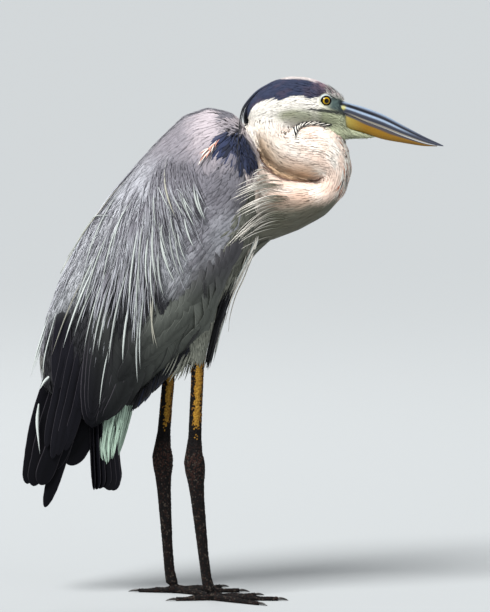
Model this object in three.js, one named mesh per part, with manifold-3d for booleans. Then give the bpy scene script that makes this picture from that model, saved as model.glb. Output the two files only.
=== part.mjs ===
// A great blue heron, life size, standing at rest with its neck folded and its bill a little below level.
// Millimetres. +X is the way it faces, +Z is up and -Y is its right side. The floor is z = 0, and the origin
// is on it, under the middle of the bird's length and width.
import * as THREE from "three";
import { mergeVertices } from "three/addons/utils/BufferGeometryUtils.js";
import Module from "manifold-3d";

const wasm = await Module();
wasm.setup();

// Driving dimensions.
const GAP = 0.4; // between neighbouring pieces
const EYE = { x: 112.5, z: 608.5, y: 9.8, radius: 7.4 };
const LEG_SPREAD = 31; // each leg's distance from the middle plane
const FOOT = { x: -25, hubHeight: 6.5, leftBack: 47 }; // the left foot stands this far behind the right one
const LEGS_MEET = 1100; // height at which the lines of the two legs would meet
const QUILL = { wing: 3.2, tail: 2.6 }; // thickness of a flight feather at its root
const WIDEST = 200; // more than the bird's width, for prisms that cut right across it
const bothSides = [
  ["right", -1],
  ["left", 1],
];

// Sections of each fleshy piece, in order along it. A section is a loop across the middle plane: x and z of
// its upper or front point, x and z of its lower or back point, and half its width.

// Body and folded wings together, from the base of the neck to the lower edge of the wings.
const COAT = [
  [8, 589, 27, 564, 14],
  [-16, 599, 37, 528, 33],
  [-46, 598, 44, 482, 53],
  [-76, 576, 34, 442, 66],
  [-114, 534, 8, 411, 72],
  [-149, 494, -14, 374, 74],
  [-178, 451, -29, 337, 72],
  [-202, 409, -52, 310, 66],
  [-222, 363, -82, 275, 56],
  [-233, 315, -112, 247, 44],
  [-236, 268, -134, 226, 33],
  [-227, 224, -156, 206, 24],
];

// The trunk without its wings, down to the root of the tail.
const TRUNK = [
  [5, 583, 25, 562, 11],
  [-18, 586, 32, 524, 28],
  [-47, 578, 39, 468, 42],
  [-86, 544, 29, 427, 50],
  [-122, 488, 0, 376, 52],
  [-146, 428, -24, 326, 49],
  [-152, 366, -60, 296, 40],
  [-158, 314, -94, 262, 29],
  [-164, 270, -119, 240, 20],
  [-160, 234, -127, 212, 15],
  [-154, 203, -134, 188, 11],
  [-149, 174, -142, 169, 5],
];

// The neck, from under the back of the head, forward, round its tight bend and back to the breast. The first
// point of each section is on the nape side and the second on the throat side.
const NECK = [
  [14, 596, 72, 591, 19],
  [23.5, 559, 73, 574, 23],
  [36.5, 535, 79, 577, 25],
  [57, 516.5, 93, 580, 26],
  [85, 510.5, 118, 578, 25],
  [101, 511.5, 137, 560, 23],
  [106, 514, 144.5, 532, 21],
  [105.5, 512.5, 138.5, 500, 21],
  [98.5, 510, 119, 473.5, 23],
  [83, 514, 86, 453.5, 26],
  [62, 520, 49, 439.5, 31],
  [40, 534, 22, 424, 39],
  [21, 550, -6, 412, 46],
];
const NECK_CUTS = [5.4, 8.2]; // where the neck is parted, counted in sections
const HALF_GAP = { neck: 0.007, leg: 0.02 }; // half of the gap at such a parting, counted in sections

// The head, from the nape to the bill's root.
const HEAD = [
  [12, 595, 24, 578, 8],
  [23, 614, 44, 577, 15],
  [45.5, 630.5, 68, 574, 18.5],
  [70, 638, 87, 579, 19.5],
  [93, 636, 105, 580, 18.5],
  [110, 629.5, 121, 577, 16],
  [126, 619.5, 135, 571, 12.5],
  [137, 609.5, 142, 564.5, 9],
];

// The bill's halves: the upper and the lower edge of each, and half its width.
const UPPER_BILL = [
  [126, 611, 122, 594, 9.5],
  [141, 605.5, 138, 592.6, 9],
  [160, 600.2, 158, 584.4, 7.2],
  [184, 591, 182, 575.8, 5.8],
  [208, 578, 207, 566.2, 4.4],
  [232, 565.2, 231, 558, 2.8],
  [249, 557.2, 249, 553.6, 1.3],
];
const LOWER_BILL = [
  [126, 594.5, 126, 574, 8.6],
  [140, 591.4, 139, 573.2, 8],
  [160, 583.2, 158, 569.2, 6.4],
  [184, 574.4, 182, 561.4, 5],
  [208, 564.8, 207, 556.8, 3.6],
  [231, 556.8, 230, 553.2, 2.2],
  [245, 553.6, 245, 552.4, 1],
];
const BILL_TIP = { x: 257.5, z: 553 };

// The throat skin that stretches from the chin out under the lower bill.
const CHIN = [
  [118, 586, 114, 566, 10.5],
  [136, 577, 136, 561.5, 8.5],
  [156, 570, 156, 562, 5],
  [176, 565, 177, 562.2, 2.6],
  [190, 562.2, 191, 561.6, 1.2],
];

// One of the two black plumes that hang from the nape, with its distance from the middle plane as a sixth
// number.
const CREST = [
  [15, 606, 28, 597, 3.2, 3.6],
  [8.6, 594, 14.6, 586, 3.2, 12],
  [6.8, 574, 11.8, 572, 3, 27],
  [5, 546, 9.4, 545, 2.8, 49],
  [2.6, 518, 5.6, 517.5, 1.6, 59.5],
];

// The loose plumes that hang from the base of the neck over the breast.
const BREAST_PLUMES = [
  [50, 441, 30, 436, 24],
  [31, 427, 12, 422, 22],
  [15.5, 408, -1, 402, 19],
  [3, 383, -12, 378, 15],
  [-3, 355, -18, 352, 9.5],
  [-8, 325, -13, 324, 2.5],
];

// Leg sections list the front point, then the back point.
const THIGH = [
  [-16, 372, -63, 364, 24],
  [-22, 342, -61, 330, 19.5],
  [-28, 318, -56.5, 308, 14],
  [-32.5, 299, -52.5, 294, 9.6],
  [-34.4, 283, -50.8, 281, 7.7],
];
const LEG = [
  [-34.8, 286, -50.2, 286, 6.4],
  [-35.6, 268, -50.2, 268, 6.2],
  [-37, 240, -51.6, 240, 6.1],
  [-38, 206, -53, 206, 6.2],
  [-37.6, 186, -55.8, 186, 7.2],
  [-34.8, 173, -58.9, 174, 9.2],
  [-32.8, 162, -58.6, 163, 9.3],
  [-34.4, 150, -55.8, 150, 7.8],
  [-35, 138, -52.6, 138, 6.2],
  [-34, 116, -49.6, 116, 5.3],
  [-31.4, 80, -44.6, 80, 4.8],
  [-28.4, 44, -39.8, 44, 4.8],
  [-24.6, 22, -37, 22, 5.4],
  [-20, 9.5, -35, 10.5, 6.4],
];
const HEEL = 6.5; // where shank and tarsus meet, counted in sections

// The folded wing from the side: x and z along its edge, from the wrist down the front, along the lower edge
// of the flight feathers to the tip, and up the back, where the scapulars cover the rest.
const WING_EDGE = [
  [14, 546],
  [17, 500],
  [2, 440],
  [-6, 400],
  [-30, 358],
  [-46, 328],
  [-70, 303],
  [-98, 274],
  [-124, 249],
  [-150, 228],
  [-172, 212],
  [-190, 222],
  [-205, 244],
  [-244, 258],
  [-262, 320],
];
const BEHIND_BACK = [
  [-262, 440],
  [-150, 640],
  [-20, 600],
];

// The scapulars: their lower edge is a row of long pointed plumes. Tips and notches each lie on a curve.
const SCAPULARS = {
  front: [
    [-2, 640],
    [-8, 572],
    [-22, 532],
  ],
  tips: [-30, 470, -118, 190, -228, 288],
  notches: [-40, 500, -110, 322, -214, 346],
  plumes: 8,
  strip: 11, // half the width of the mantle between them
};

// The long flight feathers of one wing: a folded stack, and the tips that reach out of it. Each tip has its x
// and z, its distance from the middle plane and its width.
const FOLDED_PRIMARIES = [
  [-222, 296, -192, 296, 3, 13],
  [-234, 262, -188, 262, 3.4, 13],
  [-244, 212, -186, 214, 3.2, 12],
  [-250, 176, -206, 176, 2.4, 10],
];
const PRIMARIES = {
  root: { x: -206, z: 250 },
  tips: [
    [-254.4, 143, 8, 22],
    [-246, 138.5, 9.4, 22],
    [-236, 141, 10.8, 21],
    [-230, 112, 12, 20],
    [-201, 163, 13.4, 28],
    [-186, 188, 14.6, 26],
  ],
};
// The tail: half its width and how far its outer feathers sag from the ridge, at the root and at the tip.
const TAIL = {
  root: { x: -171, z: 270, halfWidth: 9, sag: 10 },
  tip: { x: -167, z: 131, halfWidth: 19, sag: 25 },
  feathers: 5,
  feather: 28,
  shorterOutside: 8,
};
// How far the room between the folded wings lies inside the coat: from its back, from its front and at the
// sides.
const HOLLOW = { from: 7.4, back: [16, -8], front: [60, -60], sides: 14 };

// Toes: heading in degrees from straight ahead, outwards positive, with length and root radius.
const TOES = {
  inner: { heading: -32, length: 62, radius: 4.6 },
  middle: { heading: 3, length: 80, radius: 5 },
  outer: { heading: 36, length: 70, radius: 4.7 },
  hind: { heading: 172, length: 44, radius: 4.6 },
};
const CLAW_LENGTH = 13;
const TOE_SINK = 1.2; // how much of a toe's round underside its flat pad takes away

const materials = Object.fromEntries(
  Object.entries({
    slate: ["#84818a", 0.85],
    wing: ["#5c5a61", 0.8],
    flight: ["#26262f", 0.7],
    neck: ["#dccabf", 0.85],
    face: ["#e9e4d8", 0.85],
    black: ["#20212c", 0.7],
    plume: ["#c9ccc8", 0.8],
    thigh: ["#9a9a90", 0.85],
    billTop: ["#4a5058", 0.45],
    billBottom: ["#b48a2c", 0.45],
    iris: ["#e0b010", 0.15],
    shank: ["#a5763c", 0.6],
    tarsus: ["#3a3230", 0.6],
    claw: ["#1d1a18", 0.4],
  }).map(([name, [color, roughness]]) => [
    name,
    new THREE.MeshStandardMaterial({ color, roughness, metalness: 0 }),
  ]),
);

// A closed geometry as a solid that can be joined and cut, turned right side out if it is inside out.
function solid(geometry) {
  const bare = geometry.clone();
  bare.deleteAttribute("normal");
  bare.deleteAttribute("uv");
  const merged = mergeVertices(bare, 1e-4);
  const vertProperties = merged.attributes.position.array;
  const triVerts = new Uint32Array(merged.index.array);
  const made = new wasm.Manifold(new wasm.Mesh({ numProp: 3, vertProperties, triVerts }));
  if (made.volume() >= 0) return made;
  for (let i = 0; i < triVerts.length; i += 3) {
    [triVerts[i + 1], triVerts[i + 2]] = [triVerts[i + 2], triVerts[i + 1]];
  }
  return new wasm.Manifold(new wasm.Mesh({ numProp: 3, vertProperties, triVerts }));
}

// A smooth line through a point picked from each section.
function through(sections, pick) {
  const points = sections.map((section) => new THREE.Vector3(...pick(section)));
  return new THREE.CatmullRomCurve3(points, false, "catmullrom", 0.5);
}

// Where rings stand along a loft, with the scale of each: a dome closes in as a quarter circle does.
function ringPlaces(from, to, startDome, endDome, perSection) {
  const domeRings = 3;
  const places = [];
  for (let i = 1; startDome && i < domeRings; i++) {
    const turn = (i / domeRings) * (Math.PI / 2);
    places.push([from + startDome * (1 - Math.cos(turn)), Math.sin(turn)]);
  }
  const low = from + startDome;
  const high = to - endDome;
  const count = Math.max(1, Math.round((high - low) * perSection));
  for (let i = 0; i <= count; i++) places.push([low + ((high - low) * i) / count, 1]);
  for (let i = domeRings - 1; endDome && i > 0; i--) {
    const turn = (i / domeRings) * (Math.PI / 2);
    places.push([to - endDome * (1 - Math.cos(turn)), Math.sin(turn)]);
  }
  return places;
}

// A closed body through sections, between the places `from` and `to` counted in sections. `egg` narrows each
// section's first side and `full` fills out its second, `grow` swells the whole body, `floor` flattens what
// would reach below the floor, and `tips` may hold a point that closes each end.
function loft(sections, options = {}) {
  const last = sections.length - 1;
  const { from = 0, to = last, perSection = 2, around = 20, grow = 0, startDome = 0, endDome = 0 } = options;
  const { egg = 0, full = 0, y = 0, side = 1, floor = false, tips = [] } = options;
  const first = through(sections, ([x, z]) => [x, 0, z]);
  const second = through(sections, ([, , x, z]) => [x, 0, z]);
  const width = through(sections, ([, , , , half, aside = 0]) => [half, aside, 0]);
  const centreAt = (t) => first.getPoint(t / last).lerp(second.getPoint(t / last), 0.5);
  const points = [];
  const rings = ringPlaces(from, to, startDome, endDome, perSection);
  for (const [t, scale] of rings) {
    const top = first.getPoint(t / last);
    const centre = centreAt(t);
    const up = top.clone().sub(centre);
    const depth = up.length() * scale + grow;
    const { x: fullHalf, y: aside } = width.getPoint(t / last);
    const half = fullHalf * scale + grow;
    up.normalize();
    for (let i = 0; i < around; i++) {
      const angle = (i / around) * Math.PI * 2;
      const rise = Math.cos(angle);
      const out = Math.sign(Math.sin(angle)) * Math.abs(Math.sin(angle)) ** (rise < 0 ? 1 - full : 1);
      const point = centre.clone().addScaledVector(up, depth * rise);
      point.y = y + side * aside + half * out * (1 - egg * rise);
      if (floor) point.z = Math.max(point.z, 0);
      points.push(point);
    }
  }
  const ends = [centreAt(from), centreAt(to)];
  const inward = [centreAt(from + 0.02).sub(ends[0]), centreAt(to - 0.02).sub(ends[1])];
  ends.forEach((end, i) => {
    if (tips[i]) end.set(tips[i].x, 0, tips[i].z);
    end.addScaledVector(inward[i].normalize(), -grow);
    end.y = y + side * width.getPoint([from, to][i] / last).y;
    points.push(end);
  });
  const index = [];
  const lastRing = (rings.length - 1) * around;
  for (let i = 0; i < around; i++) {
    const next = (i + 1) % around;
    for (let r = 0; r < lastRing; r += around) {
      index.push(r + i, r + next, r + around + i);
      index.push(r + next, r + around + next, r + around + i);
    }
    index.push(points.length - 2, next, i);
    index.push(points.length - 1, lastRing + i, lastRing + next);
  }
  return solid(new THREE.BufferGeometry().setFromPoints(points).setIndex(index));
}

const smooth = (outline) => {
  const curve = new THREE.SplineCurve(outline.map(([x, z]) => new THREE.Vector2(x, z)));
  return curve.getPoints(outline.length).map(({ x, y }) => [x, y]);
};

// A prism across the bird whose outline in the middle plane runs clockwise as seen from the bird's right.
// `swell` moves every edge outwards by that much.
function prism(outline, swell = 0) {
  const points = outline.map(([x, z]) => new THREE.Vector2(x, z));
  const edgeNormal = (a, b) => new THREE.Vector2(a.y - b.y, b.x - a.x).normalize();
  const moved = points.map((point, i) => {
    const before = edgeNormal(points.at(i - 1), point);
    const after = edgeNormal(point, points[(i + 1) % points.length]);
    const mitre = before.clone().add(after).divideScalar(1 + before.dot(after));
    return point.clone().addScaledVector(mitre, swell);
  });
  const through = { depth: 2 * WIDEST, bevelEnabled: false };
  const geometry = new THREE.ExtrudeGeometry(new THREE.Shape(moved), through);
  return solid(geometry.rotateX(Math.PI / 2).translate(0, WIDEST, 0));
}

function halfSpace(side, away) {
  const box = new THREE.BoxGeometry(3 * WIDEST, WIDEST, 4 * WIDEST);
  return solid(box.translate(0, side * (away + WIDEST / 2), WIDEST * 1.5));
}

// A flight feather from root to tip, flattened across `flat`: nearly parallel edges and a rounded end.
function vane(root, tip, flat, width, thickness) {
  const length = root.distanceTo(tip);
  const along = tip.clone().sub(root).normalize();
  const across = new THREE.Vector3().crossVectors(flat, along).normalize();
  const face = new THREE.Vector3().crossVectors(along, across).normalize();
  const outline = [
    [0, 0.6],
    [0.7, 1],
    [0.87, 0.84],
    [0.96, 0.5],
  ];
  const points = [];
  for (const [share, fullness] of outline) {
    const centre = root.clone().addScaledVector(along, length * share);
    const half = (width / 2) * fullness;
    const rise = (thickness / 2) * (1 - share * 0.4);
    points.push(centre.clone().addScaledVector(across, half));
    points.push(centre.clone().addScaledVector(face, rise));
    points.push(centre.clone().addScaledVector(across, -half));
    points.push(centre.clone().addScaledVector(face, -rise));
  }
  points.push(root.clone(), tip.clone());
  const index = [];
  const lastRing = (outline.length - 1) * 4;
  for (let i = 0; i < 4; i++) {
    const next = (i + 1) % 4;
    for (let r = 0; r < lastRing; r += 4) {
      index.push(r + i, r + next, r + 4 + i, r + next, r + 4 + next, r + 4 + i);
    }
    index.push(points.length - 2, next, i, points.length - 1, lastRing + i, lastRing + next);
  }
  return solid(new THREE.BufferGeometry().setFromPoints(points).setIndex(index));
}

const join = (pieces) => pieces.reduce((whole, piece) => whole.add(piece));
const cut = (piece, ...cutters) => cutters.reduce((rest, cutter) => rest.subtract(cutter), piece);

// The biggest body of a piece that a cut has left in several.
function biggest(piece) {
  return piece.decompose().reduce((best, body) => (body.volume() > best.volume() ? body : best));
}

function sphere(centre, radius, side) {
  const geometry = new THREE.SphereGeometry(radius, 10, 6).rotateX(Math.PI / 2);
  return solid(geometry.translate(centre.x, side * centre.y, centre.z));
}

const heron = new THREE.Group();

function addPiece(name, piece, material) {
  const { numProp, vertProperties, triVerts } = piece.getMesh();
  const position = new Float32Array((vertProperties.length / numProp) * 3);
  for (let i = 0; i * 3 < position.length; i++) {
    position.set(vertProperties.subarray(i * numProp, i * numProp + 3), i * 3);
  }
  const geometry = new THREE.BufferGeometry();
  geometry.setAttribute("position", new THREE.BufferAttribute(position, 3));
  geometry.setIndex(new THREE.BufferAttribute(triVerts, 1));
  geometry.computeVertexNormals();
  const mesh = new THREE.Mesh(geometry, material);
  mesh.name = name;
  heron.add(mesh);
}

// ---- Head, bill and eyes ----

const headLoft = { around: 14, perSection: 1.2, startDome: 0.5, egg: 0.18 };
const billTips = { around: 8, perSection: 1, tips: [null, BILL_TIP] };
const crestLoft = { around: 6, perSection: 1 };
const chinLoft = { around: 8, perSection: 1 };
const upperBill = (grow = 0) => loft(UPPER_BILL, { ...billTips, grow, egg: 0.35 });
const lowerBill = (grow = 0) => loft(LOWER_BILL, { ...billTips, grow, egg: -0.3 });
const chin = (grow = 0) => loft(CHIN, { ...chinLoft, grow });
const head = (grow = 0) => loft(HEAD, { ...headLoft, grow });
const eyes = (grow = 0) => bothSides.map(([, side]) => sphere(EYE, EYE.radius + grow, side));
const crests = (grow = 0) => bothSides.map(([, side]) => loft(CREST, { ...crestLoft, side, grow }));

const billRoom = [upperBill(GAP), lowerBill(GAP)];
const headWhole = head().add(cut(chin(), ...billRoom));
addPiece("head", biggest(cut(headWhole, ...billRoom, ...eyes(GAP), ...crests(GAP))), materials.face);
addPiece("bill_upper", cut(upperBill(), lowerBill(GAP)), materials.billTop);
addPiece("bill_lower", lowerBill(), materials.billBottom);
eyes().forEach((eye, i) => addPiece(`eye_${bothSides[i][0]}`, eye, materials.iris));

// ---- Neck ----

const neckLength = (from, to, grow = 0) =>
  loft(NECK, { from, to, around: 14, perSection: 1, startDome: from === 0 ? 0.6 : 0, grow });
const neckEnd = NECK.length - 1;
const coatLoft = { around: 16, perSection: 1, startDome: 0.5, endDome: 0.6, egg: 0.06, full: 0.35 };
const coreLoft = { around: 12, perSection: 0.75, startDome: 0.5, endDome: 0.4 };
const coat = (grow = 0) => loft(COAT, { ...coatLoft, grow });
const trunkCore = (grow = 0) => loft(TRUNK, { ...coreLoft, grow });
const headRoom = [head(GAP), chin(GAP), lowerBill(GAP)];
const breastPlumes = (grow = 0) => loft(BREAST_PLUMES, { around: 10, perSection: 1, startDome: 0.3, grow });
const bodyRoom = [coat(GAP), trunkCore(GAP)];
const upperNeck = neckLength(0, NECK_CUTS[0] - HALF_GAP.neck);
const bendNeck = neckLength(NECK_CUTS[0] + HALF_GAP.neck, NECK_CUTS[1] - HALF_GAP.neck);
const lowerNeck = cut(neckLength(NECK_CUTS[1] + HALF_GAP.neck, neckEnd), breastPlumes(GAP));
const upperRoom = neckLength(0, NECK_CUTS[0], GAP);
addPiece("neck_upper", biggest(cut(upperNeck, ...headRoom, ...crests(GAP), ...bodyRoom)), materials.neck);
addPiece("neck_bend", biggest(cut(bendNeck, ...headRoom)), materials.neck);
addPiece("neck_lower", biggest(cut(lowerNeck, upperRoom, ...bodyRoom, ...crests(GAP))), materials.neck);
crests().forEach((plume, i) => {
  addPiece(`crest_${bothSides[i][0]}`, biggest(cut(plume, ...bodyRoom)), materials.black);
});
addPiece("breast_plumes", biggest(breastPlumes()), materials.plume);

// ---- Trunk, scapulars, wings and tail ----

const curveOf = ([x1, z1, x2, z2, x3, z3]) => {
  const [start, middle, end] = [[x1, z1], [x2, z2], [x3, z3]].map((point) => new THREE.Vector2(...point));
  return new THREE.QuadraticBezierCurve(start, middle, end);
};
const plumeTips = curveOf(SCAPULARS.tips).getPoints(SCAPULARS.plumes - 1);
const plumeNotches = curveOf(SCAPULARS.notches).getPoints(SCAPULARS.plumes);
const plumeEdge = plumeTips.flatMap((tip, i) => [plumeNotches[i], tip]).map(({ x, y }) => [x, y]);
const scapularEdge = [...SCAPULARS.front, ...plumeEdge, ...BEHIND_BACK.slice(0, 2)];
const wingEdge = [...smooth(WING_EDGE), ...BEHIND_BACK];
const scapularPrism = (swell) => prism(scapularEdge, swell);
const wingPrism = (swell) => prism(wingEdge, swell);

// The room between the two wings, under the back and over the tail.
const hollow = (grow = 0) => {
  const { from, back, front, sides } = HOLLOW;
  const sections = COAT.map(([x1, z1, x2, z2, half]) => {
    return [x1 + back[0], z1 + back[1], x2 + front[0], z2 + front[1], half - sides];
  });
  return loft(sections, { from, around: 8, perSection: 1, startDome: 0.4, grow });
};
const besideMantle = (away) => halfSpace(-1, away).add(halfSpace(1, away));
const sidesOfBack = coat().intersect(scapularPrism(0)).intersect(besideMantle(SCAPULARS.strip));
const wingsOnly = cut(coat().intersect(wingPrism(0)), scapularPrism(GAP), trunkCore(GAP), hollow());
const scapularsOnly = cut(sidesOfBack, trunkCore(GAP), hollow());
const wingsRoom = cut(wingPrism(GAP), scapularPrism(-GAP));
const scapularsRoom = scapularPrism(GAP).intersect(besideMantle(SCAPULARS.strip - GAP));
const trunkWhole = cut(coat(), wingsRoom, scapularsRoom, hollow()).add(trunkCore());
addPiece("trunk", biggest(cut(trunkWhole, breastPlumes(GAP))), materials.slate);

// The tail's feathers lie side by side like a roof, its ridge on the back side.
function tailFan() {
  const { root, tip, feathers, feather, shorterOutside } = TAIL;
  const run = new THREE.Vector3(tip.x - root.x, 0, tip.z - root.z).normalize();
  const back = new THREE.Vector3(run.z, 0, -run.x);
  const placeAt = ({ x, z, halfWidth, sag }, out) =>
    new THREE.Vector3(x, out * halfWidth, z).addScaledVector(back, -sag * out * out);
  const vanes = [];
  for (let i = 0; i < feathers; i++) {
    const out = (i / (feathers - 1)) * 2 - 1;
    const end = placeAt(tip, out).addScaledVector(run, -shorterOutside * out * out);
    const flat = back.clone().setY(out * 1.6);
    vanes.push(vane(placeAt(root, out), end, flat, feather, QUILL.tail));
  }
  return join(vanes);
}
const wingShells = cut(coat(GAP), hollow(-GAP));
addPiece("tail", biggest(cut(tailFan(), trunkCore(GAP), wingShells)), materials.flight);
for (const [name, side] of bothSides) {
  addPiece(`scapulars_${name}`, biggest(scapularsOnly.intersect(halfSpace(side, 0))), materials.plume);
  addPiece(`wing_${name}`, biggest(wingsOnly.intersect(halfSpace(side, GAP))), materials.wing);
  const { root, tips } = PRIMARIES;
  const flat = new THREE.Vector3(0.1, side, 0);
  const vanes = tips.map(([x, z, y, width]) => {
    const from = new THREE.Vector3(root.x, side * y, root.z);
    return vane(from, new THREE.Vector3(x, side * y, z), flat, width, QUILL.wing);
  });
  const stack = loft(FOLDED_PRIMARIES, { side, around: 8, perSection: 1 });
  const fan = cut(join([stack, ...vanes]), coat(GAP).intersect(wingPrism(GAP)));
  addPiece(`primaries_${name}`, biggest(fan), materials.flight);
}

// ---- Legs and feet ----

function legPiece(sections, side, shift, options) {
  const moved = sections.map(([x1, z1, x2, z2, half]) => {
    const lean = shift * (1 - z1 / LEGS_MEET);
    return [x1 - lean, z1, x2 - lean, z2, half];
  });
  return loft(moved, { y: side * LEG_SPREAD, perSection: 1, ...options });
}

// One toe, lying along +X from its root, with a swelling at each joint, and its claw.
function toeSections({ length, radius }) {
  const joints = 2;
  const sections = [];
  for (let i = 0; i <= joints * 2; i++) {
    const share = i / (joints * 2);
    const r = radius * (1 - 0.42 * share) * (i % 2 ? 0.88 : 1.04);
    const centre = r - TOE_SINK + (1 - share) ** 3 * 1.5;
    sections.push([share * length, centre + r, share * length, centre - r, r]);
  }
  return sections;
}
function clawSections({ length, radius }) {
  const root = radius * 0.5;
  const start = length + GAP;
  return [
    [start, root * 2, start, 0.3, root * 0.95],
    [start + CLAW_LENGTH * 0.45, root * 1.9, start + CLAW_LENGTH * 0.4, 0.7, root * 0.7],
    [start + CLAW_LENGTH * 0.85, root * 0.95, start + CLAW_LENGTH * 0.8, 0.4, root * 0.35],
    [start + CLAW_LENGTH, 0.7, start + CLAW_LENGTH, 0.3, 0.3],
  ];
}
function placed(piece, heading, side, hub) {
  const turn = new THREE.Matrix4().makeRotationZ(THREE.MathUtils.degToRad(heading * side));
  turn.setPosition(hub.x, hub.y, 0);
  return piece.transform(turn.elements);
}

const aboveFloor = solid(new THREE.BoxGeometry(4 * WIDEST, 4 * WIDEST, WIDEST).translate(0, 0, WIDEST / 2));
for (const [name, side] of bothSides) {
  const shift = side > 0 ? FOOT.leftBack : 0;
  const around = { around: 9 };
  const thighLoft = { around: 12, endDome: 0.3 };
  const thigh = legPiece(THIGH, side, shift, thighLoft);
  const shank = legPiece(LEG, side, shift, { ...around, to: HEEL - HALF_GAP.leg });
  const tarsus = legPiece(LEG, side, shift, { ...around, from: HEEL + HALF_GAP.leg, endDome: 0.3 });
  const thighRoom = legPiece(THIGH, side, shift, { ...thighLoft, grow: GAP });
  const tarsusRoom = legPiece(LEG, side, shift, { ...around, from: HEEL, grow: GAP, endDome: 0.3 });
  addPiece(`thigh_${name}`, biggest(cut(thigh, ...bodyRoom)), materials.thigh);
  addPiece(`shank_${name}`, biggest(cut(shank, thighRoom)), materials.shank);
  addPiece(`tarsus_${name}`, tarsus, materials.tarsus);
  const hub = new THREE.Vector3(FOOT.x - shift, side * LEG_SPREAD, FOOT.hubHeight);
  const ball = new THREE.SphereGeometry(FOOT.hubHeight, 8, 5).translate(hub.x, hub.y, hub.z - 0.8);
  const toes = Object.values(TOES).map((toe) =>
    placed(loft(toeSections(toe), { around: 6, perSection: 1, floor: true }), toe.heading, side, hub),
  );
  const foot = join([solid(ball), ...toes]).intersect(aboveFloor);
  addPiece(`foot_${name}`, biggest(cut(foot, tarsusRoom)), materials.tarsus);
  for (const [toeName, toe] of Object.entries(TOES)) {
    const claw = loft(clawSections(toe), { around: 5, perSection: 1 });
    addPiece(`claw_${name}_${toeName}`, placed(claw, toe.heading, side, hub), materials.claw);
  }
}

export default heron;
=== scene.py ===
"""Looks of a great blue heron, life size and at rest: one skin, its feathers, eyes, bill, legs and claws.

Lengths are millimetres until a mesh is made. +X is the way the bird faces, -Y is its right side and +Z is up.
Every feather is a thin closed mesh that is rooted in the skin and follows the lie of the plumage.
"""

import math

import bmesh
import bpy
import numpy as np
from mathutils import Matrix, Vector
from mathutils.bvhtree import BVHTree


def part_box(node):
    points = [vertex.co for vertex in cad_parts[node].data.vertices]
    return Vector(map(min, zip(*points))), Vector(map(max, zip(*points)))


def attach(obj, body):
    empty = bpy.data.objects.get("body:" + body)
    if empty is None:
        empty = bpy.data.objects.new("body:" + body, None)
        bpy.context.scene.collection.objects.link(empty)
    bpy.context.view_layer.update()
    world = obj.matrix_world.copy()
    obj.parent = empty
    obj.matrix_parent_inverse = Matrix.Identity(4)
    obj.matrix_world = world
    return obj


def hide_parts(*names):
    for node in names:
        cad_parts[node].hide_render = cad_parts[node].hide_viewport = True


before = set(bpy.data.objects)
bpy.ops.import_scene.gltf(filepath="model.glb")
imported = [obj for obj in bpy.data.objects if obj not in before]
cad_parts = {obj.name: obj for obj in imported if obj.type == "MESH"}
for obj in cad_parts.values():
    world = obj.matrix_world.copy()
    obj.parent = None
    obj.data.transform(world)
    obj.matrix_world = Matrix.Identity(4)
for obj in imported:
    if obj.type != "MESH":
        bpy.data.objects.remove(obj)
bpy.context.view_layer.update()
rng = np.random.default_rng(7)

MM = 0.001
SIDES = {"right": -1, "left": 1}
FLESH = ["trunk", "head", "neck_upper", "neck_bend", "neck_lower"]
FLESH += [f"{part}_{side}" for part in ("wing", "scapulars", "thigh") for side in SIDES]
HEAD = FLESH.index("head")
BAKE_PATCH = 0.003  # size of a feather's patch in the bake map

# Lines along which the plumage lies, from the front of each part to its end. A row holds x and z on the
# part's upper or back edge, then x and z on its lower or front edge, as in the solids' own sections.
LIE = {
    "head": [
        [137, 609, 142, 564], [126, 618, 135, 571], [110, 628, 121, 577], [93, 635, 105, 578],
        [70, 638, 87, 573], [45, 630, 68, 570], [23, 614, 44, 566], [12, 593, 23, 560],
    ],
    "neck": [
        [14, 596, 72, 591], [23, 559, 73, 574], [36, 535, 79, 577], [57, 516, 93, 580], [85, 510, 118, 578],
        [101, 511, 137, 560], [106, 514, 144, 532], [105, 512, 138, 500], [98, 510, 119, 473],
        [83, 514, 86, 453], [62, 520, 49, 439], [40, 534, 22, 424], [21, 550, -6, 412],
    ],
    "trunk": [
        [2, 578, 22, 560], [-18, 586, 32, 524], [-47, 578, 39, 468], [-86, 544, 29, 427], [-122, 488, 0, 376],
        [-146, 428, -24, 326], [-152, 366, -60, 296], [-158, 314, -94, 262], [-164, 270, -119, 240],
        [-160, 234, -127, 212], [-154, 203, -134, 188], [-149, 160, -142, 155],
    ],
    "wing": [
        [4, 584, 24, 560], [-16, 599, 37, 528], [-46, 598, 44, 482], [-76, 576, 34, 442], [-114, 534, 8, 411],
        [-149, 494, -14, 374], [-178, 451, -29, 337], [-202, 409, -52, 310], [-222, 363, -82, 275],
        [-233, 315, -112, 247], [-236, 268, -134, 226], [-227, 224, -156, 206],
    ],
    "thigh": [
        [-62, 372, -18, 372], [-63, 335, -24, 340], [-60, 310, -28, 314], [-54, 291, -33, 292],
        [-49, 270, -37, 271],
    ],
}


# ---------------------------------------------------------------- small tools
def linear(code):
    """A colour written as sRGB hex, as linear red, green and blue."""
    s = np.array([int(code[i : i + 2], 16) for i in (1, 3, 5)]) / 255
    return np.where(s <= 0.04045, s / 12.92, ((s + 0.055) / 1.055) ** 2.4)


def ramp(low, high, value):
    """0 below `low`, 1 above `high`, and smooth between them."""
    t = np.clip((value - low) / (high - low), 0, 1)
    return t * t * (3 - 2 * t)


def spline(rows, places):
    """Points on a smooth line through `rows`, at places counted in rows."""
    rows = np.asarray(rows, float)
    places = np.clip(places, 0, len(rows) - 1 - 1e-9)
    start = places.astype(int)
    t = (places - start)[..., None]
    padded = np.vstack([2 * rows[0] - rows[1], rows, 2 * rows[-1] - rows[-2]])
    a, b, c, d = (padded[start + k] for k in range(4))
    return 0.5 * (2 * b + (c - a) * t + (2 * a - 5 * b + 4 * c - d) * t**2 + (3 * b - a - 3 * c + d) * t**3)


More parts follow.
